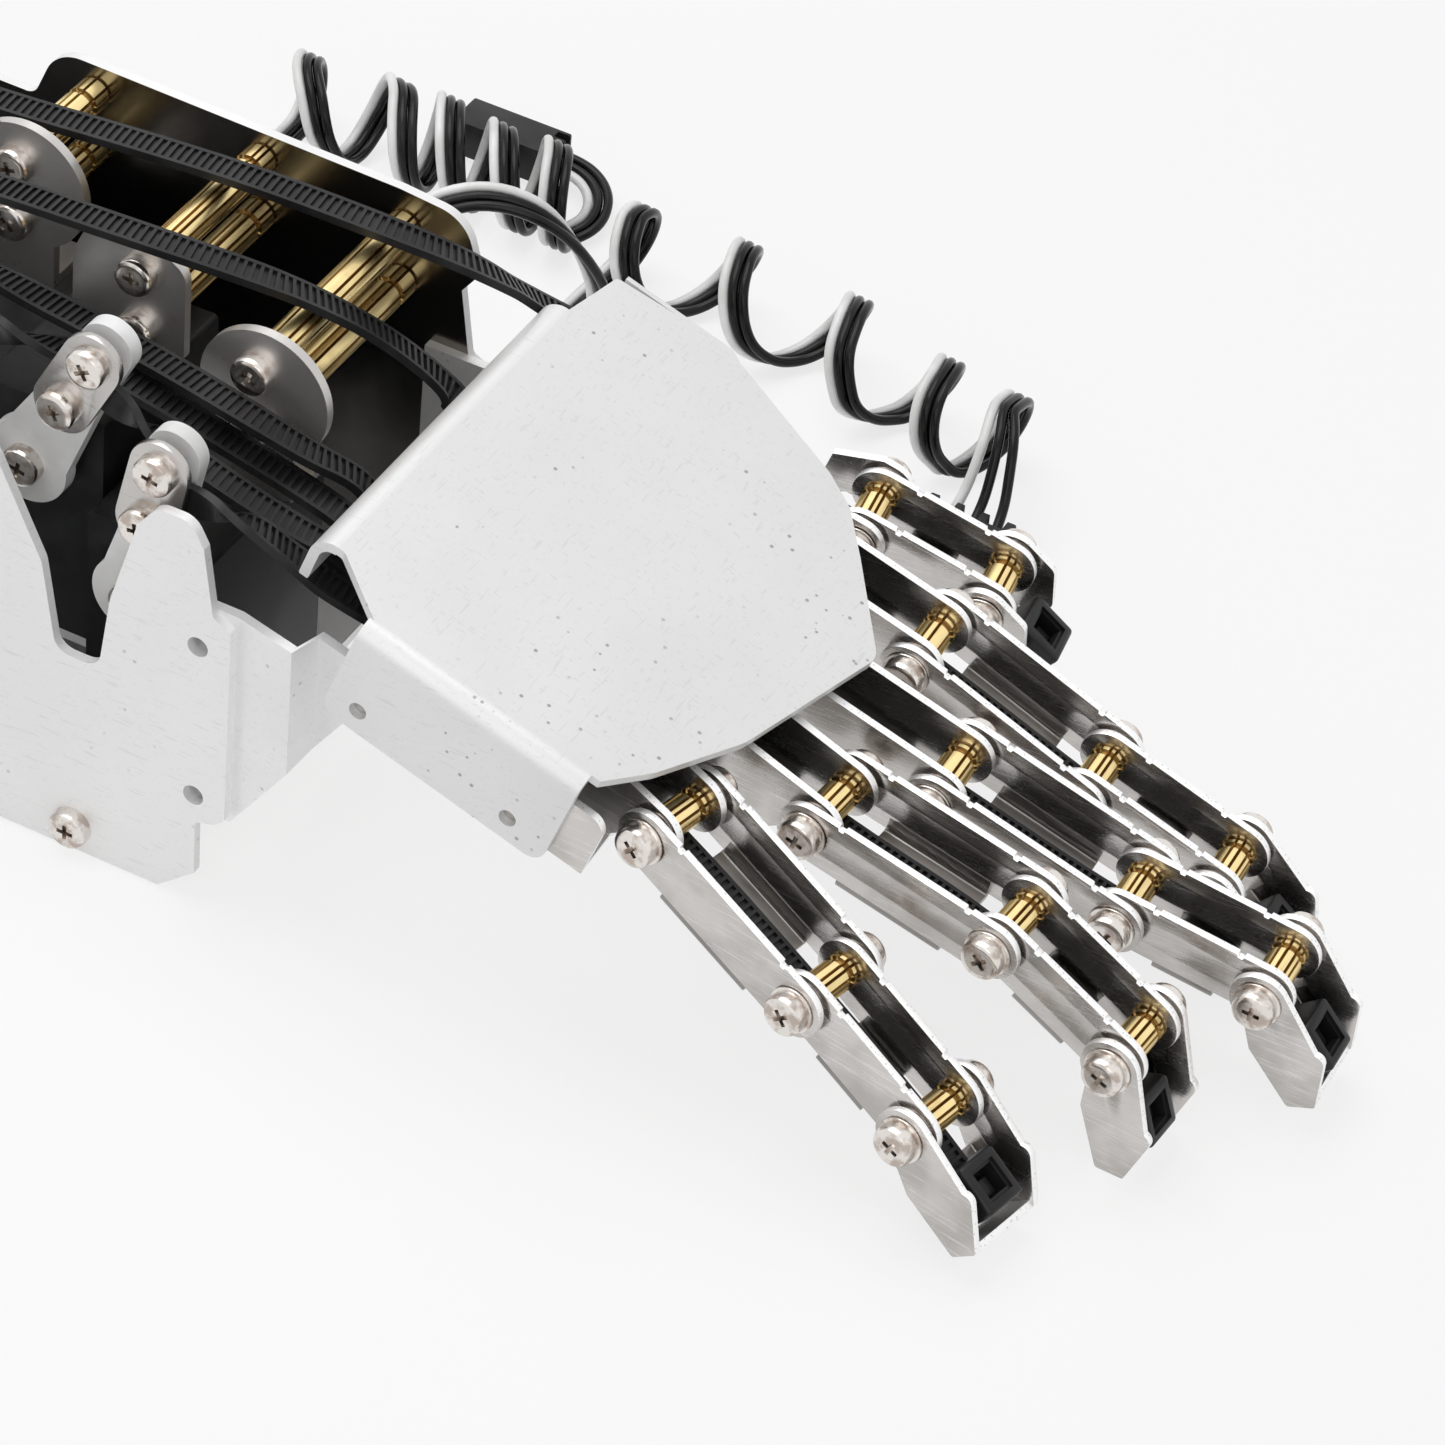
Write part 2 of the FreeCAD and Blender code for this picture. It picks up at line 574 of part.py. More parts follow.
def thumb():
    """Swinging thumb base, thumb link, short tip, pivots and the two thumb straps."""
    base = within(palm_frame, THUMB_PIVOT, V(0, 0, 1), THUMB_SPLAY)
    second = within(base, V(THUMB, 0, 0), V(0, 1, 0), THUMB_TIP_BEND)
    wide = OUTER + LINK_SHEET
    arm_low = -WEB_DROP
    to_base = base.inverse().multiply(palm_frame)
    pin = to_base.multVec(V(SWING_PIN.x, SWING_PIN.y, THUMB_PIVOT.z))
    post = to_base.multVec(V(SWING_POST.x, SWING_POST.y, THUMB_PIVOT.z))
    ears = both_sides([
        (-EAR_R - 4.5, -WEB_DROP), (-WEB_BACK, -WEB_DROP), (-WEB_BACK + 2.0, -EAR_R), (EAR_R, -EAR_R, EAR_R),
        (EAR_R, EAR_R, EAR_R), (-2.0, EAR_R), (-EAR_R - 4.5, EAR_R * 0.2),
    ], OUTER)
    rise = arm_low + LINK_SHEET
    floor = fused([
        box(-12.5, -WEB_BACK, -wide, wide, arm_low, rise),
        bar(V(-10.0, -1.0, 0), pin, 5.2, arm_low, rise),
        bar(pin, post, 3.6, arm_low, rise),
    ])
    floor = floor.cut(Part.makeCylinder(SCREW_R + RUN_FIT, 4.0, V(pin.x, pin.y, arm_low - 1)))
    stud = Part.makeCylinder(1.8, 7.0, V(post.x, post.y, arm_low))
    cap = Part.makeCylinder(2.6, 1.4, V(post.x, post.y, arm_low + 7.0))
    body = fused(ears + [floor, stud, cap])
    body = body.cut(rod(0, 0, SCREW_R + RUN_FIT, -wide - 1, wide + 1))
    nodes["thumb_base"] = placed(body, base)
    nodes["thumb_link"] = placed(link(THUMB, INNER, (SCREW_R, SCREW_R)), base)
    nodes["thumb_pivots"] = group([placed(pivot_set(0), base), placed(pivot_set(THUMB), base)])
    tip_wall = [
        (-EAR_R, -EAR_R, EAR_R), (3.0, -EAR_R), (WEB_BACK - 2.0, -WEB_DROP), (THUMB_TIP - 1.0, -WEB_DROP, 0.8),
        (THUMB_TIP, -0.5, 1.5), (5.0, EAR_R, 1.5), (-EAR_R, EAR_R, EAR_R),
    ]
    web = channel(wide, -WEB_DROP, -EAR_R / 2, WEB_BACK, THUMB_TIP - 1.0)
    tip = fused(both_sides(tip_wall, OUTER) + [web])
    tip = tip.cut(rod(0, 0, SCREW_R + RUN_FIT, -wide - 1, wide + 1))
    nodes["thumb_tip"] = placed(tip, second)
    points = ROUTES["thumb"] + [
        palm(LIP_BACK - 0.2, ENTRY["thumb"] + 0.6, LIP_LOW - 1.7),
        palm(-3.0, ENTRY["thumb"] + 3.4, -10.8),
        palm(20.0, 75.0, -12.6),
        base.multVec(V(-WEB_BACK, 0, -STRAP_DROP)),
        base.multVec(V(THUMB - STRAP_DROP * math.tan(math.radians(THUMB_TIP_BEND) / 2), 0, -STRAP_DROP)),
        second.multVec(V(THUMB_TIP * 0.6 + 1, 0, -STRAP_DROP)),
    ]
    head = strap_head(second, THUMB_TIP * 0.6)
    nodes["thumb_strap"] = fused(strap(points, V(0, 1, 0), clamp_run("thumb")) + [head])
    points = ROUTES["swing"] + [palm(-3.0, 73.4, -6.6), palm(SWING_POST.x - 3.2, SWING_POST.y - 0.6, -8.4)]
    nodes["swing_strap"] = fused(strap(points, V(0, 1, 0), clamp_run("swing")))
    pin_low = THUMB_PIVOT.z - WEB_DROP
    pin_at = V(SWING_PIN.x, SWING_PIN.y, pin_low - WASHER - HEAD_HIGH)
    hinge = fused([
        Part.makeCylinder(HEAD_R, HEAD_HIGH, pin_at),
        Part.makeCylinder(WASHER_R, WASHER - FACE_FIT, pin_at + V(0, 0, HEAD_HIGH)),
        Part.makeCylinder(SCREW_R, FLOOR_TOP - pin_low + WASHER, pin_at + V(0, 0, HEAD_HIGH)),
        Part.makeCylinder(HEAD_R, HEAD_HIGH, V(SWING_PIN.x, SWING_PIN.y, FLOOR_TOP)),
    ])
    nodes["palm_pivots"] = group(nodes["palm_pivots"].Solids + [placed(hinge, palm_frame)])


COVER_OUTLINE = [
    (LIP_BACK + LIP_R, LIP_NEAR), (-4.8, LIP_NEAR, 1.0), (4.2, -1.0, 1.0), (40.6, -1.0), (45.3, 5.9, 6.0),
    (51.8, 19.8, 10.0), (58.1, 47.1, 3.5), (47.5, 61.1, 5.0), (41.9, 68.0, 5.0), (36.6, 71.4, 5.0), (16.9, 79.1, 1.0),
    (15.0, 80.4), (-4.0, 78.8, 0.8), (-5.0, 72.7, 1.0), (LIP_BACK + LIP_R, LIP_FAR),
]


def palm_cover():
    """Bent sheet over the palm with a side flange and a rolled rear lip."""
    sheet = flat(COVER_OUTLINE, -COVER_SHEET, 0)
    bend = abs(FLANGE_FACE) - 1.0
    flange = along_x([
        (-1.0, 0), (FLANGE_FACE, 0, bend), (FLANGE_FACE, FLANGE_LOW), (FLANGE_FACE + COVER_SHEET, FLANGE_LOW),
        (FLANGE_FACE + COVER_SHEET, -COVER_SHEET, bend - COVER_SHEET), (-1.0, -COVER_SHEET),
    ], 3.6, 39.2)
    ends = upright([
        (3.6, FLANGE_LOW, 2.5), (39.2, FLANGE_LOW, 2.5), (39.2, 1.0), (3.6, 1.0),
    ], FLANGE_FACE - 1, 1)
    flange = flange.common(ends)
    wall = 1.5
    lip = upright([
        (LIP_BACK + LIP_R, 0), (LIP_BACK, 0, LIP_R), (LIP_BACK, LIP_LOW, 0.3), (LIP_BACK + wall, LIP_LOW, 0.3),
        (LIP_BACK + wall, -wall, LIP_R - wall), (LIP_BACK + LIP_R, -wall),
    ], LIP_NEAR, LIP_FAR)
    tab_flange = box(-3.0, 14.0, 79.6, 80.4, -6.0, 0.0)
    cover = fused([sheet, flange, lip, tab_flange])
    holes = [rod(u, -13.3, 1.3, FLANGE_FACE - 1, FLANGE_FACE + 2) for u in (8.3, 32.6)]
    cover = cover.cut(group(holes))
    nodes["palm_cover"] = placed(cover, palm_frame)


FLOOR_OUTLINE = [
    (FRAME_REAR, -1.2), (44.5, -1.2), (44.2, 5.9), (49.0, 19.8), (55.0, 46.5), (44.6, 61.0), (38.0, 67.0),
    (30.0, 73.4, 4.0), (19.0, 70.0, 2.0), (FRAME_REAR, 66.0),
]
STANDOFFS = [V(12.0, 4.5, FLOOR_TOP), V(10.0, 52.0, FLOOR_TOP), V(40.0, 53.5, FLOOR_TOP)]


def palm_lower():
    """Palm floor with one channel for each finger, its knuckle ears and a near flange."""
    low = FLOOR_TOP - LINK_SHEET
    pieces = [flat(FLOOR_OUTLINE, low, FLOOR_TOP)]
    near = FLANGE_FACE + COVER_SHEET
    side = upright([
        (FRAME_REAR, low), (44.5, low), (44.5, -5.0, 2.5), (FRAME_REAR, -5.0, 2.5),
    ], near, near + LINK_SHEET)
    pieces.append(side)
    drop = low - PIVOT_H
    rise = FLOOR_TOP - PIVOT_H
    tools = []
    for name, u, v, splay, bend_1, bend_2, bend_3 in FINGERS:
        own = Place(V(u, v, PIVOT_H), Turn(V(0, 0, 1), splay))
        half = INNER + LINK_SHEET
        pieces.append(placed(box(-TONGUE, -WEB_BACK, -half, half, drop, rise), own))
        for wall in both_sides([
            (-TONGUE, drop), (-WEB_BACK, drop, 0.8), (-WEB_BACK + 2.5, -EAR_R), (EAR_R, -EAR_R, EAR_R),
            (EAR_R, EAR_R, EAR_R), (-TONGUE, EAR_R, 3.0),
        ], INNER):
            pieces.append(placed(wall, own))
        tools.append(placed(rod(0, 0, SCREW_R, -half - 1, half + 1), own))
    body = fused(pieces)
    tools.append(Part.makeCylinder(SCREW_R, 4.0, V(SWING_PIN.x, SWING_PIN.y, low - 1)))
    body = body.cut(group(tools))
    nodes["palm_frame"] = placed(body, palm_frame)
    posts = [Part.makeCylinder(SPACER_R, -COVER_SHEET - FLOOR_TOP, at) for at in STANDOFFS]
    nodes["spacers"] = group(nodes["spacers"].Solids + placed(group(posts), palm_frame).Solids)


def wrist():
    """Trough-shaped wrist bracket between the forearm plates and the palm floor."""
    near = [(-4.0, PLATE_SHEET), (5.2, PLATE_SHEET), (14.8, -0.8), (16.1, 3.8), (22.0, 2.2)]

    def plan(offset):
        side = [(x, y + offset) for x, y in near]
        other = [(x, BOX_WIDE - y) for x, y in reversed(side)]
        return side + other

    top = 52.0
    outer = flat(plan(0), 0, top)
    inner = flat(plan(PLATE_SHEET), -1, top + 10)
    slope = [(-4.0, top), (22.0, top), (22.0, 43.0), (24.6, 45.6), (22.0, 41.6), (BOX_FRONT, 15.5), (-4.0, 15.5)]
    shell = outer.common(upright(slope, -10, BOX_WIDE + 10))
    hollow = upright([
        (-6.0, top + 5), (30.0, top + 5), (30.0, 56.2), (20.74, 42.4), (3.74, 16.4), (3.74, 12.0), (-6.0, 12.0),
    ], -10, BOX_WIDE + 10)
    body = shell.cut(inner.common(hollow))
    web = upright([(19.0, 36.99), (26.0, 47.74), (24.74, 48.56), (17.74, 37.81)], 4.4, BOX_WIDE - 4.4)
    above = placed(box(-10, 60, -20, 110, FLOOR_TOP - LINK_SHEET, 30), palm_frame)
    web = web.cut(above)
    foot = placed(box(FRAME_REAR + 0.6, 16.0, 3.0, 62.0, FLOOR_TOP - 2 * LINK_SHEET, FLOOR_TOP - LINK_SHEET), palm_frame)
    body = fused([body, web, foot])
    holes = [rod(0, MOUNT_LOW + i * MOUNT_PITCH, MOUNT_R, -1, BOX_WIDE + 1) for i in (0, 1)]
    body = body.cut(group(holes))
    nodes["wrist_bracket"] = body


LEAD_ROUTES = [
    [V(-20.0, BOX_WIDE + 1.5, 54.0), V(-20.0, 84.0, 54.0), V(-15.0, 94.0, 62.0), V(-3.0, 100.0, 67.0),
     V(9.0, 103.0, 62.0), V(13.0, 107.0, 48.0), V(8.0, 112.0, 33.0), V(-2.0, 117.0, 20.0), V(-12.0, 123.0, 10.0),
     V(-18.0, 132.0, 4.6), V(-20.0, 142.0, 3.0), V(-19.0, 152.0, 2.6)],
    [V(-95.0, BOX_WIDE + 1.5, 20.0), V(-95.0, 82.0, 20.0), V(-94.0, 94.0, 13.0), V(-90.0, 108.0, 6.0),
     V(-85.0, 124.0, 3.4), V(-81.0, 140.0, 3.0), V(-79.0, 157.0, 2.6)],
]
COILS = [
    [V(-22.0, 155.0, 8.8), V(-4.0, 156.0, 8.8), V(14.0, 154.0, 8.8), V(32.0, 149.6, 8.8), V(56.0, 142.4, 8.8)],
    [V(-83.0, 160.5, 8.8), V(-66.0, 162.5, 8.8), V(-50.0, 162.4, 8.8), V(-28.0, 161.2, 8.8)],
]
TAILS = [
    [V(50.0, 145.0, 12.6), V(53.6, 141.6, 10.8), V(55.8, 138.0, 8.2), V(56.9, 134.6, 6.2), V(57.2, 131.2, 5.2),
     V(57.2, 128.0, 5.2)],
    [V(-29.0, 158.0, 2.8), V(-27.2, 165.7, 2.8), V(-28.5, 170.6, 3.2), V(-32.1, 174.2, 3.6), V(-37.0, 175.5, 3.8),
     V(-39.6, 175.5, 3.8)],
]
# Length, width, foot and top of each plug about its lead's end, and the direction in which it points
PLUGS = [(12.0, 14.3, -4.6, 3.4, V(0, -1, 0)), (18.0, 7.2, -3.2, 3.4, V(-1, 0, 0))]


def tube(points, radius, name):
    """A round tube of straight runs joined by tangent arcs."""
    corners = [points[0]]
    edges = []
    start = points[0]
    for before, here, after in zip(points, points[1:], points[2:]):
        back = before - here
        forward = after - here
        shorter = min(back.Length, forward.Length)
        back.normalize()
        forward.normalize()
        half = back.getAngle(forward) / 2
        turn = math.pi / 2 - half
        if turn < 0.01:
            continue
        reach = 0.45 * shorter
        bend_radius = reach / math.tan(turn)
        print(name, "bend radius", round(bend_radius, 1))
        inward = (back + forward).normalize()
        centre = here + inward * (bend_radius / math.cos(turn))
        edges.append(Part.makeLine(start, here + back * reach))
        edges.append(Part.Arc(here + back * reach, centre - inward * bend_radius, here + forward * reach).toShape())
        start = here + forward * reach
    edges.append(Part.makeLine(start, points[-1]))
    spine = Part.Wire(edges)
    circle = Part.makeCircle(radius, points[0], points[1] - points[0])
    return spine.makePipeShell([Part.Wire([circle])], True, True)


def leads():
    """Two curly leads on the floor behind the hand, with grommets and plugs."""
    grommets = []
    for x, z in EXITS:
        ring = rod(x, z, LEAD_R + 2.0, BOX_WIDE, BOX_WIDE + 1.5)
        ring = ring.fuse(rod(x, z, LEAD_R, BOX_WIDE - PLATE_SHEET, BOX_WIDE))
        grommets.append(ring)
    nodes["lead_grommets"] = group(grommets)
    for number, (route, coil, tail, plug) in enumerate(zip(LEAD_ROUTES, COILS, TAILS, PLUGS), 1):
        label = "lead_" + str(number)
        run = tube(route, LEAD_R, label)
        fat = tube(coil, COIL_R, label + "_coil")
        end = tube(tail, LEAD_R, label)
        nodes[label] = run.fuse(fat).fuse(end)
        long, wide, foot, top, toward = plug
        seat = Place(tail[-1], Turn(V(0, 0, 1), math.degrees(math.atan2(toward.y, toward.x))))
        nodes[label + "_plug"] = placed(box(0, long, -wide / 2, wide / 2, foot, top), seat)


def servos():
    """Six servos with their horns and clamps."""
    for name, x, z, lane, side, tilt in SERVOS:
        nodes[name + "_servo"] = servo(x, z, lane, side)
        horn, clamp = horn_parts(x, z, lane, side, tilt)
        nodes[name + "_horn"] = horn
        nodes[name + "_clamp"] = clamp


def shift_to_base(cord_names):
    """The move that puts the origin under the middle of everything but the leads."""
    bounds = FreeCAD.BoundBox()
    for name, shape in nodes.items():
        if name not in cord_names:
            bounds.add(shape.BoundBox)
    return V(-bounds.Center.x, -bounds.Center.y, -bounds.ZMin)


forearm()
servos()
palm_cover()
palm_lower()
wrist()
fingers()
thumb()
leads()

CORDS = ["lead_1", "lead_2", "lead_1_plug", "lead_2_plug"]
shift = shift_to_base(CORDS)
os.makedirs("parts", exist_ok=True)
for name, shape in nodes.items():
    shape.translate(shift)
    shape.exportStep("parts/" + name + ".step")
print(len(nodes), "nodes, moved by", [round(value, 3) for value in shift])
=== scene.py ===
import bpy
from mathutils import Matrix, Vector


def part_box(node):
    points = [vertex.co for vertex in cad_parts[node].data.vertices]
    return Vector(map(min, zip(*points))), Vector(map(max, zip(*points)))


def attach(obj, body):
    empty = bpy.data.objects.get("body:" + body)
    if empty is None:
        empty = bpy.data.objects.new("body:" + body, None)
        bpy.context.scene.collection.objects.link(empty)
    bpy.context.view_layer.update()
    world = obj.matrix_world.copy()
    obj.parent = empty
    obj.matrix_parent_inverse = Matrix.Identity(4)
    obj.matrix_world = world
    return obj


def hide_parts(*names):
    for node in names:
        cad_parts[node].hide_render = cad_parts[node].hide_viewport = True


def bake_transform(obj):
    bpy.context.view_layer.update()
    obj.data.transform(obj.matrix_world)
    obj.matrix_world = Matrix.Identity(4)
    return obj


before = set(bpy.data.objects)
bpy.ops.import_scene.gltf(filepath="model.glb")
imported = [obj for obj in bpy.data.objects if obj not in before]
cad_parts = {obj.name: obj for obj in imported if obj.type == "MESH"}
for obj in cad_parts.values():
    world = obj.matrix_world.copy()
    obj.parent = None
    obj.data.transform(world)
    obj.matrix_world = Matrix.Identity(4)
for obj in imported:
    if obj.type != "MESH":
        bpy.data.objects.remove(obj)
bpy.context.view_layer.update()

# %% [markdown]
# # A robot hand of folded metal links
# The hand lies on a white table. Four fingers and a thumb of folded aluminium links hang on fluted brass
# spacers, black toothed straps pull them, and six servos stand between two forearm plates. The CAD model
# gives every piece its place. This script gives the pieces their looks.
#
# All places are written in millimetres in the hand's own drawing frame: x runs from the forearm to the
# fingers, y to the thumb side and z up. One function turns them into metres in the model's frame.

# %% The drawing frame
import math

import bmesh
import bpy
from mathutils import Matrix, Vector

MM = 0.001
low, high = (Vector(corner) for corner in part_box("near_side_plate"))
# The drawing frame starts on the near side plate's outer face, at its foot and this far behind its front
PLATE_FRONT = 5.0
BASE = Vector((high.x - PLATE_FRONT * MM, low.y, low.z))
DRAWING = Matrix.Translation(BASE) @ Matrix.Scale(MM, 4)


def at(x, y, z):
    """A place of the drawing frame, in metres in the model's frame."""
    return DRAWING @ Vector((x, y, z))


def turned(axis, degrees):
    """A turn about one of the axes, as a matrix."""
    return Matrix.Rotation(math.radians(degrees), 4, axis)


def moved(x, y, z):
    """A move, as a matrix."""
    return Matrix.Translation((x, y, z))


# The palm's own frame starts at the wrist and slopes down to the knuckles
PALM = moved(21.8, 2.1, 62.8) @ turned("Y", 18.1)
print("the drawing frame starts at", [round(value, 4) for value in BASE])

# %% [markdown]
# ## Camera
# The photograph is taken from the fingers' end, on the little finger's side and well above, with a long lens
# from almost a metre away.
# A camera can be aimed with a constraint, but a matrix of its three directions is exact and needs no target,
# so it is used here.

# %% Camera
LENS = 151.74
SENSOR = 36.0
NEAR_LIMIT = 0.02
FAR_LIMIT = 20.0
EYE = (315.4, -533.5, 572.7)
RIGHT = Vector((0.8799, 0.4683, 0.0800))
UP = Vector((-0.3611, 0.5497, 0.7533))

right = RIGHT.normalized()
back = right.cross(UP).normalized()
up = back.cross(right)
camera_data = bpy.data.cameras.new("photo_camera")
camera_data.lens = LENS
camera_data.sensor_width = SENSOR
camera_data.clip_start = NEAR_LIMIT
camera_data.clip_end = FAR_LIMIT
camera = bpy.data.objects.new("photo_camera", camera_data)
bpy.context.collection.objects.link(camera)
camera.matrix_world = Matrix.Translation(at(*EYE)) @ Matrix((right, up, back)).transposed().to_4x4()
bpy.context.scene.camera = camera
print("camera at", [round(value, 3) for value in camera.matrix_world.translation])

# %% [markdown]
# ## Shader maths in Python
# A node material is a small program. Written node by node it gets long, so one class wraps a socket and
# lets Python's own operators add the Math nodes, and another one builds a material and any other node.

# %% Sockets that can be added and multiplied
class Socket:
    """A number or colour that a node gives, on which Python's operators work."""

    def __init__(self, finish, socket):
        self.finish = finish
        self.socket = socket

    def math(self, operation, *values):
        """A Math node on this number and further ones."""
        return self.finish.node("ShaderNodeMath", {"operation": operation}, [self, *values])

    def __add__(self, other):
        return self.math("ADD", other)

    def __sub__(self, other):
        return self.math("SUBTRACT", other)

    def __mul__(self, other):
        return self.math("MULTIPLY", other)

    def __rsub__(self, other):
        return self.finish.node("ShaderNodeMath", {"operation": "SUBTRACT"}, [other, self])

    __radd__ = __add__
    __rmul__ = __mul__

    def above(self, edge, width):
        """0 below the edge and 1 above it, with a soft step of this width."""
        return self.finish.node("ShaderNodeMapRange", {"interpolation_type": "SMOOTHSTEP"}, {
            "Value": self, "From Min": edge - width / 2, "From Max": edge + width / 2})


class Finish:
    """A material built around one Principled shader."""

    def __init__(self, name, **values):
        self.material = bpy.data.materials.new(name)
        self.material.use_nodes = True
        self.tree = self.material.node_tree
        self.shader = self.tree.nodes["Principled BSDF"]
        self.set(**values)
        place = self.tree.nodes.new("ShaderNodeTexCoord")
        self.place = Socket(self, place.outputs["Object"])
        self.normal = Socket(self, place.outputs["Normal"])

    def put(self, socket, value):
        """Links a socket, or writes a number or a colour into it."""
        if isinstance(value, Socket):
            self.tree.links.new(value.socket, socket)
        elif hasattr(value, "__len__") and socket.type == "RGBA" and len(value) == 3:
            socket.default_value = (*value, 1.0)
        else:
            socket.default_value = value

    def set(self, **values):
        """Sets inputs of the shader. An underscore in a name stands for a space."""
        for name, value in values.items():
            self.put(self.shader.inputs[name.replace("_", " ")], value)

    def node(self, kind, settings, values, output=0):
        """Any node: its settings first, then its inputs by place or by name."""
        node = self.tree.nodes.new(kind)
        for name, value in settings.items():
            setattr(node, name, value)
        pairs = values.items() if isinstance(values, dict) else enumerate(values)
        for key, value in pairs:
            self.put(node.inputs[key], value)
        return Socket(self, node.outputs[output])

    def mix(self, mask, one, other):
        """One colour where the mask is 0, the other where it is 1."""
        return self.node("ShaderNodeMix", {"data_type": "RGBA"}, {0: mask, 6: one, 7: other}, 2)

    def stretched(self, scale, turn=(0, 0, 0)):
        """The place, turned and scaled along each axis, so that a pattern becomes streaks."""
        return self.node("ShaderNodeMapping", {}, {"Vector": self.place, "Rotation": turn, "Scale": scale})

    def noise(self, scale, detail=3.0, rough=0.5, source=None):
        """Soft noise about 0.5. The scale is in repeats a metre."""
        return self.node("ShaderNodeTexNoise", {}, {
            "Vector": source or self.place, "Scale": scale, "Detail": detail, "Roughness": rough})

    def cells(self, scale):
        """Distance to the nearest of scattered points."""
        return self.node("ShaderNodeTexVoronoi", {}, {"Vector": self.place, "Scale": scale})

    def bump(self, height, strength, distance):
        """Feeds a height into the shader's normal."""
        self.set(Normal=self.node("ShaderNodeBump", {},
                                  {"Strength": strength, "Distance": distance, "Height": height}))

    def across(self, direction):
        """How squarely the surface faces a direction, from 0 to 1."""
        dot = self.node("ShaderNodeVectorMath", {"operation": "DOT_PRODUCT"}, [self.normal, direction], 1)
        return dot.math("ABSOLUTE")


def darker(color, share):
    """A colour at a share of its brightness."""
    return tuple(share * value for value in color)


print("node helpers ready")

# %% [markdown]
# ## Metal finishes
# The links are cut from bare aluminium sheet. Their broad faces are brushed and mirror the room as a warm
# grey, while the sawn edges are rough and scatter the light, so they look almost white. Two materials could
# be painted face by face. One finish that tells faces from edges, by how squarely the surface looks along the
# link's own pivot direction, also works on the CAD pieces, so it is used.

# %% Bare sheet
PALE = (0.94, 0.94, 0.94)
FACE = (0.62, 0.595, 0.575)
SHADE = (0.46, 0.44, 0.42)
BRUSH = (120.0, 120.0, 2600.0)


def bare_sheet(name, pivot):
    """Aluminium sheet with brushed faces square to the pivot direction and rough pale edges."""
    finish = Finish(name, Metallic=1.0)
    flat = finish.across(pivot).above(0.75, 0.3)
    clouds = finish.noise(90.0, 3.0)
    lines = finish.noise(1.0, 4.0, 0.6, finish.stretched(BRUSH))
    specks = finish.cells(1500.0).above(0.22, 0.1)
    broad = finish.mix(clouds.above(0.52, 0.30), FACE, SHADE)
    broad = finish.mix(lines.above(0.62, 0.2) * 0.35, broad, PALE)
    rim = finish.mix(specks, darker(PALE, 0.72), PALE)
    finish.set(Base_Color=finish.mix(flat, rim, broad))
    finish.set(Roughness=0.46 - flat * 0.20 + (lines - 0.5) * 0.12)
    finish.bump(lines * flat * 0.6 + specks * 0.4, 0.25, 0.0001)
    return finish.material


def finger_axis(splay):
    """The pivot direction of a finger that is splayed by some degrees."""
    return tuple((PALM @ turned("Z", splay)).to_3x3() @ Vector((0, 1, 0)))


# Each finger: its knuckle's place along and across the palm, its splay and the bends of its three joints
FINGERS = {
    "little": (50.2, 9.3, -10.8, (7.1, 2.4, 6.5)),
    "ring": (65.0, 27.5, -3.5, (-7.3, 16.7, 41.8)),
    "middle": (75.0, 45.2, 1.8, (-0.4, -9.2, 40.6)),
    "index": (61.3, 63.3, 1.8, (5.9, -3.9, 20.0)),
}
# The thumb: its first pivot along, across and below the palm, and its splay
THUMB = (43.0, 82.0, -12.0, 8.0)
sheet_of = {name: bare_sheet("sheet_" + name, finger_axis(splay))
            for name, (_, _, splay, _) in FINGERS.items()}
sheet_of["thumb"] = bare_sheet("sheet_thumb", finger_axis(THUMB[3]))
sheet_of["palm"] = bare_sheet("sheet_palm", finger_axis(0.0))
print(len(sheet_of), "sheet finishes")

# %% [markdown]
# ## Plates
# The cover and the side plates are paler than the links: satin sheet with fine scratches in all directions
# and small dark specks. A picture of scratches would need an image file. Two sets of thin stretched noise,
# turned against each other, give them without one. The far plate is seen mostly from its inner side, which
# mirrors the dark servos, so that side gets a darker colour, a painted reflection of them, and a smoother
# gloss.

# %% Satin plates
SCRATCH_1 = ((260.0, 2600.0, 2600.0), (0.0, 0.3, 0.5))
SCRATCH_2 = ((2600.0, 300.0, 2600.0), (0.2, 0.0, 0.3))


def satin_plate(name, color, dark, rough, speck, metallic):
    """Satin aluminium with crossing scratches and small specks."""
    finish = Finish(name, Metallic=metallic)
    clouds = finish.noise(35.0, 4.0)
    scratch_1 = finish.noise(1.0, 2.0, 0.5, finish.stretched(*SCRATCH_1))
    scratch_2 = finish.noise(1.0, 2.0, 0.5, finish.stretched(*SCRATCH_2))
    marks = scratch_1.above(0.66, 0.07) + scratch_2.above(0.67, 0.07)
    dots = (1 - finish.cells(420.0).above(0.12, 0.06)) * finish.noise(60.0).above(0.54, 0.10)
    body = finish.mix(clouds.above(0.50, 0.45), color, darker(color, dark))
    body = finish.mix(marks.math("MINIMUM", 1.0) * 0.20, body, darker(color, 0.55))
    body = finish.mix(dots * speck, body, darker(color, 0.25))
    finish.set(Base_Color=body, Roughness=clouds * 0.16 + rough - 0.08)
    finish.bump(marks * -0.5 + dots * -0.8 + finish.noise(900.0, 2.0) * 0.25, 0.18, 0.00008)
    return finish.material


cover_finish = satin_plate("cover_sheet", (0.84, 0.84, 0.84), 0.94, 0.44, 0.7, 0.30)
plate_finish = satin_plate("forearm_sheet", (0.96, 0.96, 0.96), 0.96, 0.42, 0.4, 0.20)
bracket_finish = satin_plate("bracket_sheet", (0.92, 0.92, 0.92), 0.92, 0.38, 0.4, 0.45)
# The webs are folded from the links' own sheet; their dark colour is painted shade under and between the side
# plates
web_painted_shade = satin_plate("web_shade_sheet", (0.36, 0.345, 0.33), 0.60, 0.30, 0.3, 1.0)
tab_finish = satin_plate("tab_sheet", (0.66, 0.64, 0.62), 0.72, 0.36, 0.5, 0.9)
print("satin plates ready")
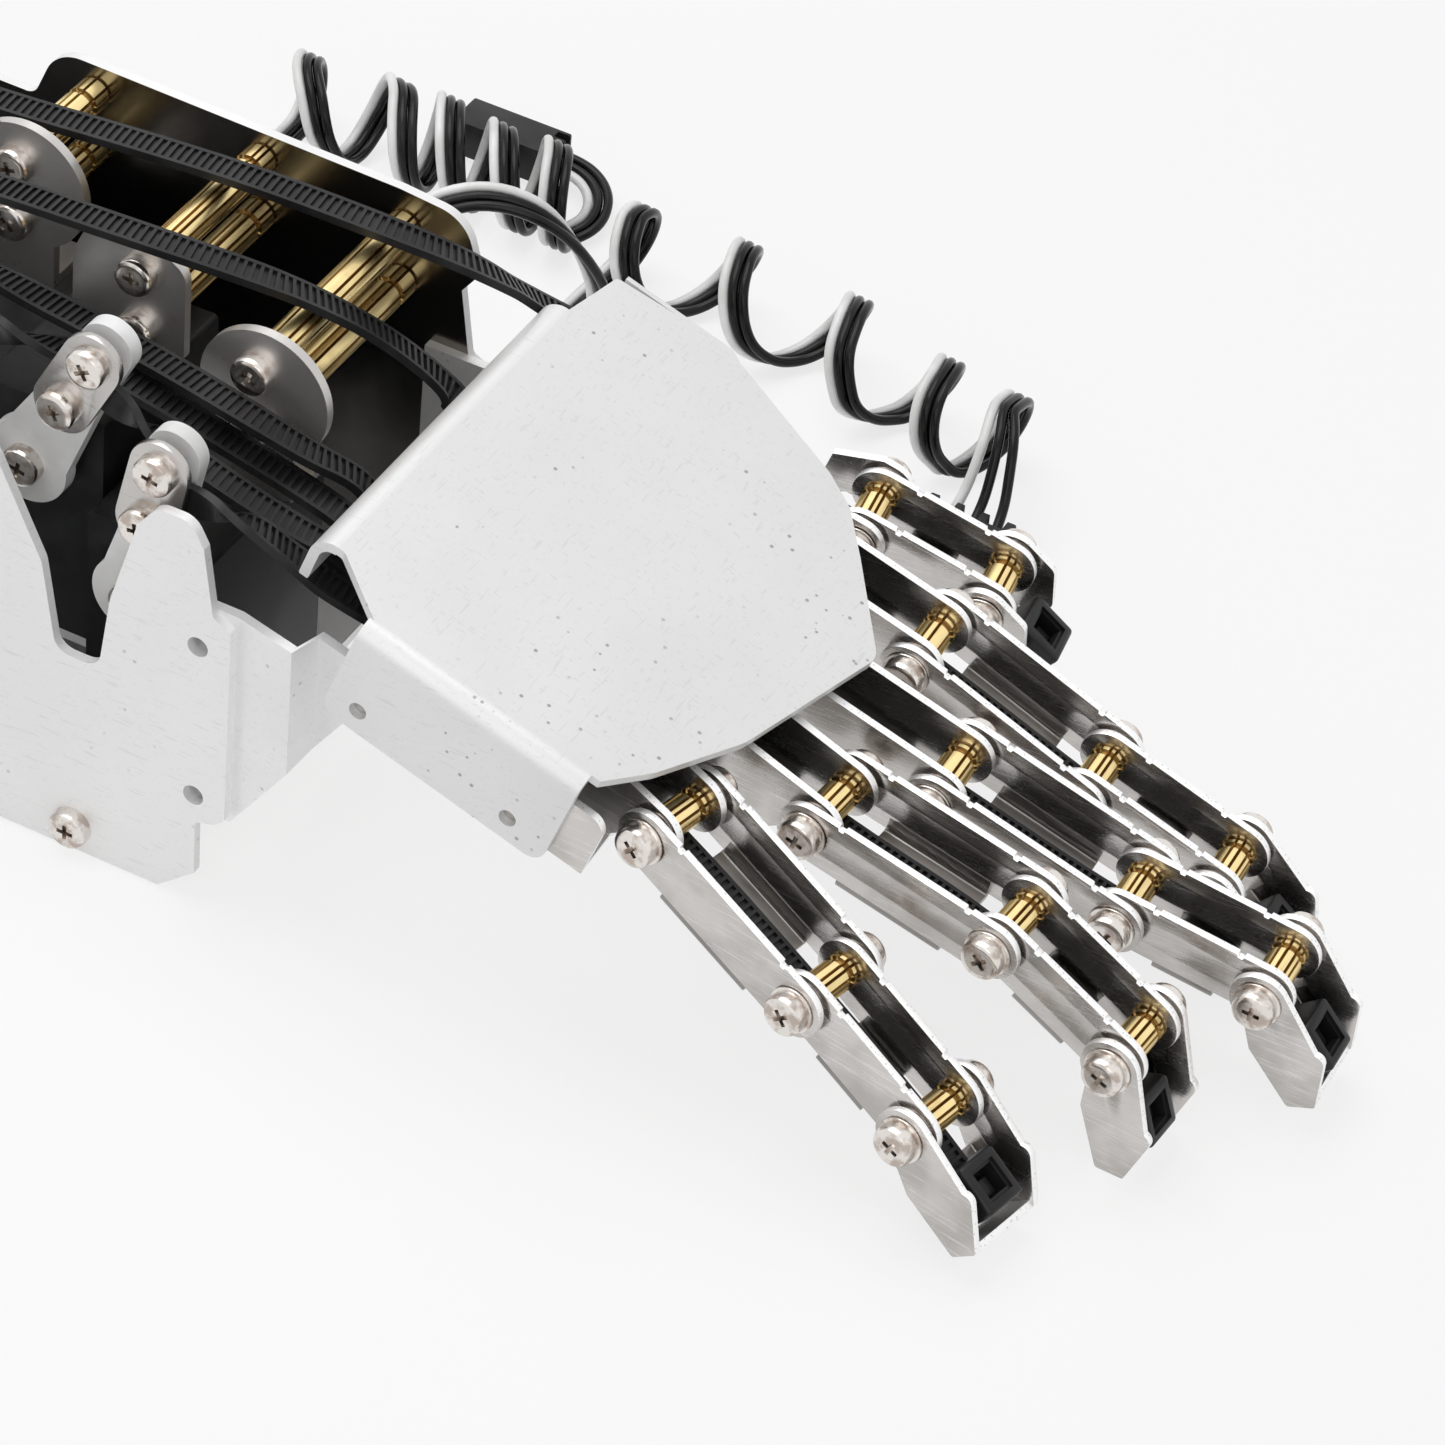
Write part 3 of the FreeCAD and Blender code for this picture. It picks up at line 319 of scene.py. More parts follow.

# %% The far plate with painted reflection on its inner side
INWARD = (0, -1, 0)


def painted_reflection_plate(name):
    """The far plate: pale outside, while its inner face is painted dark, a painted reflection of the servos
    before it.
    """
    finish = Finish(name)
    facing = finish.node("ShaderNodeVectorMath", {"operation": "DOT_PRODUCT"}, [finish.normal, INWARD], 1)
    inner = facing.above(0.7, 0.3)
    clouds = finish.noise(60.0, 3.0)
    # The inner face's dark colour is painted reflection of the dark servos before it; the outside keeps the
    # pale sheet
    dark = finish.mix(clouds.above(0.5, 0.4), (0.30, 0.285, 0.27), (0.20, 0.19, 0.18))
    pale = finish.mix(clouds.above(0.5, 0.4), (0.95, 0.95, 0.95), (0.86, 0.86, 0.86))
    finish.set(Base_Color=finish.mix(inner, pale, dark), Metallic=inner * 0.75 + 0.25)
    finish.set(Roughness=0.44 - inner * 0.26 + clouds * 0.08)
    finish.bump(finish.noise(900.0, 2.0), 0.06, 0.00008)
    return finish.material


far_finish = painted_reflection_plate("far_plate_sheet")
print("far plate finish ready")

# %% [markdown]
# ## Brass, nickel and plastic
# Brass spacers are golden with dark streaks along their flutes, the screws are plated and warm, the straps
# and servo cases are black plastic, and the servo horns are white. All of them get their wear from soft noise
# in colour and gloss, because small parts like these show no pattern that could be measured.
# The darker brass on the faces inside the spacers' flutes and groove is painted shade.

# %% Brass and nickel
BRASS_TURNING = (900.0, 90.0, 900.0)
TARNISH = (0.36, 0.23, 0.10)
NICKEL = (0.78, 0.74, 0.70)
NICKEL_STAIN = (0.42, 0.34, 0.29)


def brass(name, bright):
    """Drawn brass with streaks and a darker tarnish in patches."""
    finish = Finish(name, Metallic=1.0)
    streaks = finish.noise(1.0, 3.0, 0.6, finish.stretched(BRASS_TURNING))
    tarnish = finish.noise(160.0, 3.0)
    color = finish.mix(streaks.above(0.58, 0.25) * 0.4, bright, darker(bright, 0.62))
    color = finish.mix(tarnish.above(0.66, 0.15) * 0.25, color, TARNISH)
    finish.set(Base_Color=color, Roughness=streaks * 0.20 + 0.20)
    finish.bump(streaks, 0.15, 0.00008)
    return finish.material


def nickel():
    """Plated screw metal with a warm tint and small stains."""
    finish = Finish("nickel", Metallic=1.0)
    stains = finish.noise(500.0, 4.0)
    color = finish.mix(stains.above(0.54, 0.2) * 0.8, NICKEL, NICKEL_STAIN)
    finish.set(Base_Color=color, Roughness=stains * 0.22 + 0.10)
    finish.bump(stains, 0.20, 0.00006)
    return finish.material


brass_finish = brass("brass", (1.0, 0.80, 0.40))
# A much darker brass for the faces inside the flutes and the groove: painted shade in these hollows
flute_shade_brass = brass("brass_flute_shade", (0.34, 0.21, 0.07))
nickel_finish = nickel()
print("brass and nickel ready")

# %% Plastics
def plastic(name, color, rough, grain, gloss=0.5):
    """Moulded plastic with fine grain and faint clouds in its gloss."""
    finish = Finish(name, Metallic=0.0, Specular_IOR_Level=gloss)
    clouds = finish.noise(120.0, 3.0)
    fine = finish.noise(2600.0, 2.0)
    worn = tuple(min(1.0, 1.25 * value + 0.012) for value in color)
    finish.set(Base_Color=finish.mix(clouds.above(0.55, 0.3), color, worn))
    finish.set(Roughness=clouds * 0.18 + rough - 0.09)
    finish.bump(fine, grain, 0.00005)
    return finish.material


strap_finish = plastic("black_nylon", (0.013, 0.013, 0.014), 0.36, 0.15, 0.28)
case_finish = plastic("case_plastic", (0.013, 0.013, 0.014), 0.42, 0.30, 0.25)
plug_finish = plastic("plug_plastic", (0.013, 0.013, 0.013), 0.45, 0.25, 0.28)
horn_finish = plastic("horn_plastic", (0.82, 0.82, 0.81), 0.40, 0.10)
white_wire = plastic("white_wire", (0.84, 0.84, 0.83), 0.30, 0.05)
black_wire = plastic("black_wire", (0.004, 0.004, 0.005), 0.20, 0.05, 0.22)
print("plastics ready")

# %% [markdown]
# ## Pieces that the CAD model gives
# The cover, the plates, the palm frame, the servos and the horns come from the CAD model with their right
# shape, so they only need a finish. It could be set piece by piece. Two short tables, one of whole names and
# one of last words, do it for all of them, and what is in neither is black case plastic.

# %% Finishes of the CAD pieces
BY_NAME = {
    "palm_cover": cover_finish,
    "palm_frame": sheet_of["palm"],
    "far_side_plate": far_finish,
    "near_side_plate": plate_finish,
    "rear_plate": plate_finish,
    "wrist_bracket": bracket_finish,
    "servo_tray": bracket_finish,
    "servo_tabs": tab_finish,
    "thumb_base": sheet_of["thumb"],
    "thumb_tip": sheet_of["thumb"],
    "spacers": brass_finish,
    "forearm_screws": nickel_finish,
}
BY_LAST_WORD = {
    "pivots": nickel_finish,
    "clamp": nickel_finish,
    "horn": horn_finish,
    "strap": strap_finish,
    "plug": plug_finish,
}


def finish_of(name):
    """The finish of a CAD node, by its name."""
    words = name.split("_")
    if words[-1] == "link":
        return sheet_of[words[0]]
    return BY_NAME.get(name) or BY_LAST_WORD.get(words[-1], case_finish)


for name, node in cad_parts.items():
    material = finish_of(name)
    if not node.material_slots:
        node.data.materials.append(material)
    for slot in node.material_slots:
        slot.link = "OBJECT"
        slot.material = material
print("finishes on", len(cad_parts), "CAD pieces")

# %% [markdown]
# ## Tools for modelling
# Every new piece is modelled in millimetres round its own origin, because Blender's operators have
# tolerances that suit that size. Its copies are moved to their places in the drawing frame, still in
# millimetres. Last of all a finished piece is scaled to metres and rides on the body that moves it.

# %% Selecting, editing and placing
def fresh():
    """Leaves edit mode and deselects everything."""
    if bpy.context.mode != "OBJECT":
        bpy.ops.object.mode_set(mode="OBJECT")
    bpy.ops.object.select_all(action="DESELECT")


def edit(piece):
    """Opens one piece in edit mode with all of it selected."""
    fresh()
    piece.select_set(True)
    bpy.context.view_layer.objects.active = piece
    bpy.ops.object.mode_set(mode="EDIT")
    bpy.ops.mesh.select_all(action="SELECT")


def pick(piece, kind, test):
    """Selects just the faces, edges or corners whose middle and normal pass a test."""
    bpy.ops.mesh.select_mode(type=kind)
    bpy.ops.mesh.select_all(action="DESELECT")
    mesh = bmesh.from_edit_mesh(piece.data)
    if kind == "FACE":
        for face in mesh.faces:
            face.select_set(test(face.calc_center_median(), face.normal))
    else:
        for corner in mesh.verts:
            corner.select_set(test(corner.co, corner.normal))
    mesh.select_flush_mode()
    bmesh.update_edit_mesh(piece.data)


def change(piece, kind, **settings):
    """Adds a modifier to a piece and applies it."""
    fresh()
    piece.select_set(True)
    bpy.context.view_layer.objects.active = piece
    modifier = piece.modifiers.new(kind.title(), kind)
    for name, value in settings.items():
        setattr(modifier, name, value)
    bpy.ops.object.modifier_apply(modifier=modifier.name)


def turn_mesh(piece, matrix):
    """Moves the mesh of a piece and leaves its object at the origin."""
    piece.data.transform(piece.matrix_world)
    piece.matrix_world = Matrix.Identity(4)
    piece.data.transform(matrix)
    return piece


def joined(name, pieces):
    """One piece from several."""
    fresh()
    for piece in pieces:
        piece.select_set(True)
    bpy.context.view_layer.objects.active = pieces[0]
    if len(pieces) > 1:
        bpy.ops.object.join()
    pieces[0].name = name
    return pieces[0]


def dress(piece, material):
    """Gives a whole piece one material."""
    piece.data.materials.clear()
    piece.data.materials.append(material)
    return piece


def copy_of(model, name, matrix=Matrix.Identity(4)):
    """A copy with its own mesh, still in millimetres."""
    piece = bpy.data.objects.new(name, model.data.copy())
    bpy.context.collection.objects.link(piece)
    piece.data.transform(matrix)
    return piece


def discard(*models):
    """Removes models once their copies are made."""
    for model in models:
        bpy.data.objects.remove(model, do_unlink=True)


def finished(piece, body, replaces=(), smooth=32.0):
    """Puts a piece from the drawing frame into the model's frame and lets it ride on its body."""
    piece.data.transform(DRAWING)
    fresh()
    piece.select_set(True)
    bpy.context.view_layer.objects.active = piece
    bpy.ops.object.shade_smooth_by_angle(angle=math.radians(smooth))
    if replaces:
        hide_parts(*replaces)
    if body:
        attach(piece, body)
    return piece


print("modelling tools ready")

# %% [markdown]
# ## Sheet parts
# Links, webs and clamp plates are cut and folded from sheet. A block could be cut to shape with Booleans,
# but a flat curve keeps round ends and holes exact: its outline is filled, thickened and given a small round
# along its rim, and then turned into a mesh. A folded web is the same thing seen from its end, with its
# folded section as the outline and its length as the thickness.

# %% Outlines
def arc(centre, radius, start, end, steps):
    """Places on an arc, with angles in degrees."""
    places = []
    for step in range(steps + 1):
        angle = math.radians(start + (end - start) * step / steps)
        places.append((centre[0] + radius * math.cos(angle), centre[1] + radius * math.sin(angle)))
    return places


ROUND_STEPS = 6


def rounded(corners):
    """An outline from corners, each (x, y) or (x, y, radius)."""
    places = []
    count = len(corners)
    for i, corner in enumerate(corners):
        here = Vector(corner[:2])
        radius = corner[2] if len(corner) > 2 else 0.0
        if not radius:
            places.append(tuple(here))
            continue
        before = (Vector(corners[i - 1][:2]) - here).normalized()
        after = (Vector(corners[(i + 1) % count][:2]) - here).normalized()
        half = before.angle(after) / 2
        reach = radius / math.tan(half)
        centre = here + (before + after).normalized() * (radius / math.sin(half))
        start = here + before * reach - centre
        end = here + after * reach - centre
        for step in range(ROUND_STEPS + 1):
            spoke = start.lerp(end, step / ROUND_STEPS).normalized() * radius
            places.append(tuple(centre + spoke))
    return places


print("outline tools ready")

# %% Sheet parts from flat curves
SIDE_RIM = 0.12
HOLE_SIDES = 24
WELD = 0.002
# STAND puts a sheet upright, and ALONG lays a section's thickness along x
STAND = turned("X", 90.0)
ALONG = Matrix(((0, 0, 1, 0), (1, 0, 0, 0), (0, 1, 0, 0), (0, 0, 0, 1)))


def cut_sheet(name, outline, holes, thick, rim=SIDE_RIM):
    """A sheet part: a flat filled curve with holes, thickened, with a small round along its rim."""
    curve = bpy.data.curves.new(name, "CURVE")
    curve.dimensions = "2D"
    curve.fill_mode = "BOTH"
    curve.extrude = thick / 2 - rim
    curve.bevel_depth = rim
    curve.bevel_resolution = 1
    curve.offset = -rim
    last = 360 - 360 / HOLE_SIDES
    loops = [outline] + [arc((x, y), radius, 0, last, HOLE_SIDES - 1) for x, y, radius in holes]
    for loop in loops:
        spline = curve.splines.new("POLY")
        spline.points.add(len(loop) - 1)
        for point, place in zip(spline.points, loop):
            point.co = (place[0], place[1], 0.0, 1.0)
        spline.use_cyclic_u = True
    piece = bpy.data.objects.new(name, curve)
    bpy.context.collection.objects.link(piece)
    fresh()
    piece.select_set(True)
    bpy.context.view_layer.objects.active = piece
    bpy.ops.object.convert(target="MESH")
    piece = bpy.context.object
    edit(piece)
    bpy.ops.mesh.remove_doubles(threshold=WELD)
    bpy.ops.mesh.normals_make_consistent(inside=False)
    fresh()
    return piece


print("sheet tools ready")

# %% [markdown]
# ## Screws and washers
# All screws are M3 pan heads with a cross recess. The head starts as a cylinder whose top rim is bevelled
# far enough to look domed. The recess could be extruded inwards, but its four arms are easier to cut with
# two tapered blocks and a Boolean modifier.

# %% Pan head with a cross recess
HEAD_R = 3.0
HEAD_HIGH = 2.2
HEAD_SIDES = 28
DOME = 1.0
RECESS = (3.5, 0.85, 2.6)
RECESS_TAPER = (0.45, 0.55, 1.0)


def cross_cutter():
    """One tapered block that cuts two arms of a recess."""
    fresh()
    bpy.ops.mesh.primitive_cube_add(size=1.0, location=(0, 0, HEAD_HIGH))
    block = bpy.context.object
    edit(block)
    bpy.ops.transform.resize(value=RECESS)
    pick(block, "FACE", lambda middle, normal: normal.z < -0.9)
    bpy.ops.transform.resize(value=RECESS_TAPER)
    fresh()
    turn_mesh(block, Matrix.Identity(4))
    return block


def pan_head():
    """A domed pan head standing on z = 0, with its cross recess."""
    fresh()
    bpy.ops.mesh.primitive_cylinder_add(vertices=HEAD_SIDES, radius=HEAD_R, depth=HEAD_HIGH,
                                        location=(0, 0, HEAD_HIGH / 2))
    head = bpy.context.object
    turn_mesh(head, Matrix.Identity(4))
    edit(head)
    pick(head, "FACE", lambda middle, normal: normal.z > 0.9)
    bpy.ops.mesh.bevel(offset=DOME, segments=4, profile=0.6, affect="EDGES")
    for angle in (0, 90):
        block = cross_cutter()
        turn_mesh(block, turned("Z", angle))
        change(head, "BOOLEAN", object=block, operation="DIFFERENCE", solver="EXACT")
        discard(block)
    return dress(head, nickel_finish)


head_model = pan_head()
print("pan head with", len(head_model.data.polygons), "faces")

# %% Washer
WASHER_R = 3.4
WASHER_THICK = 0.36
WASHER_SIDES = 32
WASHER_EDGE = 0.12


def washer():
    """A flat washer on z = 0 with rounded edges. Its hole is left out, as a head or a plate covers it."""
    fresh()
    bpy.ops.mesh.primitive_cylinder_add(vertices=WASHER_SIDES, radius=WASHER_R, depth=WASHER_THICK,
                                        location=(0, 0, WASHER_THICK / 2))
    ring = bpy.context.object
    turn_mesh(ring, Matrix.Identity(4))
    edit(ring)
    pick(ring, "FACE", lambda middle, normal: abs(normal.z) > 0.9)
    bpy.ops.mesh.bevel(offset=WASHER_EDGE, segments=2, affect="EDGES")
    fresh()
    return dress(ring, nickel_finish)


washer_model = washer()
print("washer with", len(washer_model.data.polygons), "faces")

# %% [markdown]
# ## Fluted brass spacers
# Fourteen flutes run along each spacer, and a ring groove is turned near one end. The flutes come from a
# many-sided cylinder whose every fifth corner line is drawn inwards. Fourteen cutters and a Boolean would
# also do, but would leave slivers. The groove is cut in with bisect lines that are then scaled. The faces
# inside the flutes and the groove get a darker brass, which is painted shade in these hollows.

# %% Fluted spacer
FLUTES = 14
SIDES_A_FLUTE = 5
SPACER_R = 2.5
FLUTE_SHARE = 0.83
GROOVE_SHARE = 0.84
END_SHARE = 0.90
END_LONG = 0.35
GROOVE_EDGES = (0.55, 0.35)


def fluted_spacer(length, groove):
    """A spacer from z = 0 to its length, with a ring groove this far from its far end."""
    sides = FLUTES * SIDES_A_FLUTE
    fresh()
    bpy.ops.mesh.primitive_cylinder_add(vertices=sides, radius=SPACER_R, depth=length,
                                        location=(0, 0, length / 2))
    spacer = bpy.context.object
    turn_mesh(spacer, Matrix.Identity(4))
    edit(spacer)

    def in_valley(place, normal):
        turn = math.atan2(place.y, place.x) / (2 * math.pi) * sides
        return round(turn) % SIDES_A_FLUTE == 0

    pick(spacer, "VERT", in_valley)
    bpy.ops.transform.resize(value=(FLUTE_SHARE, FLUTE_SHARE, 1.0))
    middle = length - groove
    outer, inner = GROOVE_EDGES
    for line in (END_LONG, middle - outer, middle - inner, middle + inner, middle + outer, length - END_LONG):
        bpy.ops.mesh.select_all(action="SELECT")
        bpy.ops.mesh.bisect(plane_co=(0, 0, line), plane_no=(0, 0, 1), threshold=0.0001)
    pick(spacer, "VERT", lambda place, normal: abs(place.z - middle) < 0.4)
    bpy.ops.transform.resize(value=(GROOVE_SHARE, GROOVE_SHARE, 1.0))
    for end in (0.0, length):
        pick(spacer, "VERT", lambda place, normal: abs(place.z - end) < 0.01)
        bpy.ops.transform.resize(value=(END_SHARE, END_SHARE, 1.0))
    fresh()
    dress(spacer, brass_finish)
    # Faces inside the flutes and the groove take the darker brass, painted shade in these hollows
    spacer.data.materials.append(flute_shade_brass)
    for face in spacer.data.polygons:
        if abs(face.normal.z) < 0.9 and math.hypot(face.center.x, face.center.y) < SPACER_R * 0.965:
            face.material_index = 1
    return spacer


SPACER_HALF = 4.0
SHORT_GROOVE = 1.5
spacer_model = fluted_spacer(2 * SPACER_HALF, SHORT_GROOVE)
turn_mesh(spacer_model, turned("X", -90.0) @ moved(0, 0, -SPACER_HALF))
print("short spacer with", len(spacer_model.data.polygons), "faces")

# %% [markdown]
# ## Finger pivots
# At each pivot a spacer holds the inner plates apart. A screw comes in from each side through a washer, the
# outer plate, a second washer and the inner plate. A constraint could hold each screw at its pivot, but the
# export needs plain meshes, so a matrix for each joint puts copies of one set of screws and washers there.

# %% Pivots in the fingers and the thumb
LINK_SHEET = 1.2
PLATE_GAP = 0.8
GAP_WASHER_FROM = 0.22
HEAD_GAP = 0.5
INNER = SPACER_HALF
OUTER = SPACER_HALF + LINK_SHEET + PLATE_GAP
HEAD_FROM = OUTER + LINK_SHEET + HEAD_GAP
HEAD_TURN = 25.0
PIVOT_H = -8.0
PROXIMAL = 29.5
MIDDLE = 22.1
TIP = 18.0
THUMB_LONG = 20.4
THUMB_TIP_LONG = 9.5
THUMB_TIP_BEND = 22.0


def pivot_hardware():
    """The screws and washers of one pivot, on both sides of its middle."""
    parts = []
    for side in (1, -1):
        facing = turned("X", -90.0 * side)
        stack = (
            (washer_model, OUTER - PLATE_GAP + GAP_WASHER_FROM, 0.0),
            (washer_model, HEAD_FROM - WASHER_THICK, 0.0),
            (head_model, HEAD_FROM, HEAD_TURN * side),
        )
        for model, start, turn in stack:
            parts.append(copy_of(model, "part", facing @ moved(0, 0, start) @ turned("Z", turn)))
    return joined("hardware", parts)


hardware_model = pivot_hardware()
print("one pivot's hardware has", len(hardware_model.data.polygons), "faces")

# %% Places of the pivots
SPACER_TURN = 37.0
SCREW_TURN = 61.0


def finger_frames(u, v, h, splay, bends, lengths):
    """Places of a finger's moving pieces, from its knuckle on."""
    frames = [PALM @ moved(u, v, h) @ turned("Z", splay)]
    reach = 0.0
    for bend, length in zip(bends, lengths):
        frames.append(frames[-1] @ moved(reach, 0, 0) @ turned("Y", bend))
        reach = length
    return frames


def add_pivots(label, places, body, node):
    """Spacers and screws at several places on one body."""
    brass_parts = []
    metal_parts = []
    for i, place in enumerate(places):
        brass_parts.append(copy_of(spacer_model, "part", place @ turned("Y", SPACER_TURN * i)))
        metal_parts.append(copy_of(hardware_model, "part", place @ turned("Y", SCREW_TURN * i)))
    finished(joined(label + "_spacers", brass_parts), body, [node])
    finished(joined(label + "_screws", metal_parts), body, [node])


frames = {name: finger_frames(u, v, PIVOT_H, splay, bends, (PROXIMAL, MIDDLE, TIP))
          for name, (u, v, splay, bends) in FINGERS.items()}
for name, places in frames.items():
    ends = [places[2], places[2] @ moved(MIDDLE, 0, 0)]
    add_pivots(name + "_finger", ends, name + "_middle", name + "_pivots")
add_pivots("knuckle", [places[0] for places in frames.values()], "hand_frame", "palm_pivots")
thumb_bends = (0.0, THUMB_TIP_BEND)
thumb_base, thumb_first, thumb_second = finger_frames(*THUMB, thumb_bends, (THUMB_LONG, THUMB_TIP_LONG))
add_pivots("thumb", [thumb_first, thumb_second], "thumb_link_body", "thumb_pivots")
print("pivots placed for", list(frames), "and the thumb")

# %% [markdown]
# ## Links
# Each link is one folded sheet: two side plates with round ends, and between two windows a web that hangs a
# little lower than the plates. It could be bent out of one flat mesh, but the folds would be hard to keep
# crisp, so side plates and web are cut apart and meet in the fold. They are modelled once for each kind of
# link.

# %% Parts of a link
EAR_R = 4.3
EAR_STEPS = 18
WEB_DROP = 5.8
WEB_BACK = 6.5
WEB_INSET = 0.02
WEB_RIM = 0.10
FOLD_INSIDE = 0.3
HOLE_R = 1.58
NOTCH_DEEP = 0.5
NOTCH_TOP = (4.2, 5.2)
NOTCH_FLOOR = (4.4, 5.0)


def notch_at(start, way):
    """A small coined notch in a link's upper edge, a little way from the pivot at the start."""
    low = EAR_R - NOTCH_DEEP
    corners = [(NOTCH_TOP[0], EAR_R), (NOTCH_FLOOR[0], low), (NOTCH_FLOOR[1], low), (NOTCH_TOP[1], EAR_R)]
    return [(start + way * reach, height) for reach, height in corners]


def capsule(length):
    """Side outline of a link, with a notch beside each pivot."""
    notches = notch_at(length, -1) + notch_at(0.0, 1)[::-1]
    far_ear = arc((length, 0), EAR_R, -90, 90, EAR_STEPS)
    return far_ear + notches + arc((0, 0), EAR_R, 90, 270, EAR_STEPS)


def side_pair(outline, holes, face):
    """Two equal side plates, one on each side of the middle."""
    plate = turn_mesh(cut_sheet("side", outline, holes, LINK_SHEET), STAND)
    other = copy_of(plate, "side", moved(0, -face - LINK_SHEET / 2, 0))
    plate.data.transform(moved(0, face + LINK_SHEET / 2, 0))
    return [dress(plate, sheet_of["palm"]), dress(other, sheet_of["palm"])]


def folded_web(face, start, end):
    """The web below the plates, with its two folds."""
    top = -EAR_R / 2
    half = face + LINK_SHEET - WEB_INSET
    rise = -WEB_DROP + LINK_SHEET
    section = rounded([
        (-half, top), (-half, -WEB_DROP, LINK_SHEET), (half, -WEB_DROP, LINK_SHEET), (half, top),
        (face, top), (face, rise, FOLD_INSIDE), (-face, rise, FOLD_INSIDE), (-face, top),
    ])
    web = cut_sheet("web", section, (), end - start, WEB_RIM)
    # The web gets the dark finish, which is painted shade under and between the side plates
    return dress(turn_mesh(web, moved((start + end) / 2, 0, 0) @ ALONG), web_painted_shade)


print("link parts ready, with sheet of", LINK_SHEET, "mm")

# %% Whole links
FRONT_SLANT = 1.4
FRONT_HIGH = 4.0
FRONT_TOP = -1.6
FRONT_WIDER = 0.4
FRONT_SEAT = 0.1
CHIN = 3.0
SHOULDER = 0.62


def link_model(length, face):
    """A link with its pivots at x = 0 and x = length."""
    sides = side_pair(capsule(length), [(0, 0, HOLE_R), (length, 0, HOLE_R)], face)
    return joined("link", sides + [folded_web(face, WEB_BACK, length - WEB_BACK)])


def tip_model():
    """The last link: five-sided plates, a web and a closed front that slants forward."""
    reach = TIP - FRONT_SLANT
    wall = rounded([
        (CHIN, -EAR_R), (WEB_BACK, -WEB_DROP), (reach, -WEB_DROP, 0.6), (TIP, -1.8, 0.5),
        (TIP * SHOULDER, EAR_R, 1.5),
    ]) + arc((0, 0), EAR_R, 90, 270, EAR_STEPS)
    sides = side_pair(wall, [(0, 0, HOLE_R)], OUTER)
    web = folded_web(OUTER, WEB_BACK, reach - LINK_SHEET)
    half = OUTER + FRONT_WIDER
    front_outline = rounded([
        (-half, -WEB_DROP, 0.8), (half, -WEB_DROP, 0.8), (half, FRONT_TOP, 0.5), (-half, FRONT_TOP, 0.5),
    ])
    front = cut_sheet("front", front_outline, (), LINK_SHEET)
    lean = turned("Y", math.degrees(math.atan2(FRONT_SLANT, FRONT_HIGH)))
    foot = moved(reach - LINK_SHEET / 2 + FRONT_SEAT, 0, -WEB_DROP)
    turn_mesh(front, foot @ lean @ moved(0, 0, WEB_DROP) @ ALONG)
    dress(front, sheet_of["palm"])
    return joined("tip", sides + [web, front])


print("link and tip tools ready")

# %% Links in their places
def placed_link(model, name, matrix, sheet):
    """A link in its place, with the brushed sheet of its own finger."""
    link = copy_of(model, name, matrix)
    link.data.materials[0] = sheet
    return link


proximal_model = link_model(PROXIMAL, OUTER)
middle_model = link_model(MIDDLE, INNER)
thumb_model = link_model(THUMB_LONG, INNER)
last_model = tip_model()
for name, (_, first, second, third) in frames.items():
    rows = (("proximal", proximal_model, first), ("middle", middle_model, second), ("tip", last_model, third))
    for part, model, place in rows:
        link = placed_link(model, name + "_" + part, place, sheet_of[name])
        finished(link, name + "_" + part, [name + "_" + part + "_link"])
link = placed_link(thumb_model, "thumb_link_sheet", thumb_first, sheet_of["thumb"])
finished(link, "thumb_link_body", ["thumb_link"])
discard(proximal_model, middle_model, thumb_model, last_model)
print("links placed")

# %% [markdown]
# ## Curly leads
# Behind the hand two servo leads lie on the table. Each is a ribbon of one white and two black wires that was
# wound on a rod, so it springs into loops. A Screw modifier makes even loops only, and these lie in uneven
# ones, so one smooth NURBS line follows each lead from its grommet to its plug. Its places outside the coil
# are listed, and a loop works out the turns inside it.

# %% Smooth lines
def smooth_line(points):
    """Close points along the NURBS line that has these places as its control points."""
    curve = bpy.data.curves.new("line", "CURVE")
    curve.dimensions = "3D"
    curve.resolution_u = 6
    spline = curve.splines.new("NURBS")
    spline.points.add(len(points) - 1)
    for point, place in zip(spline.points, points):
        point.co = (*place, 1.0)
    spline.order_u = 3
    spline.use_endpoint_u = True
    holder = bpy.data.objects.new("line", curve)
    bpy.context.collection.objects.link(holder)
    mesh = bpy.data.meshes.new_from_object(holder)
    line = [corner.co.copy() for corner in mesh.vertices]
    bpy.data.objects.remove(holder, do_unlink=True)
    bpy.data.meshes.remove(mesh)
    return line


def length_of(line):
    """Length of a line of close points."""
    return sum((b - a).length for a, b in zip(line, line[1:]))


print("line tools ready")

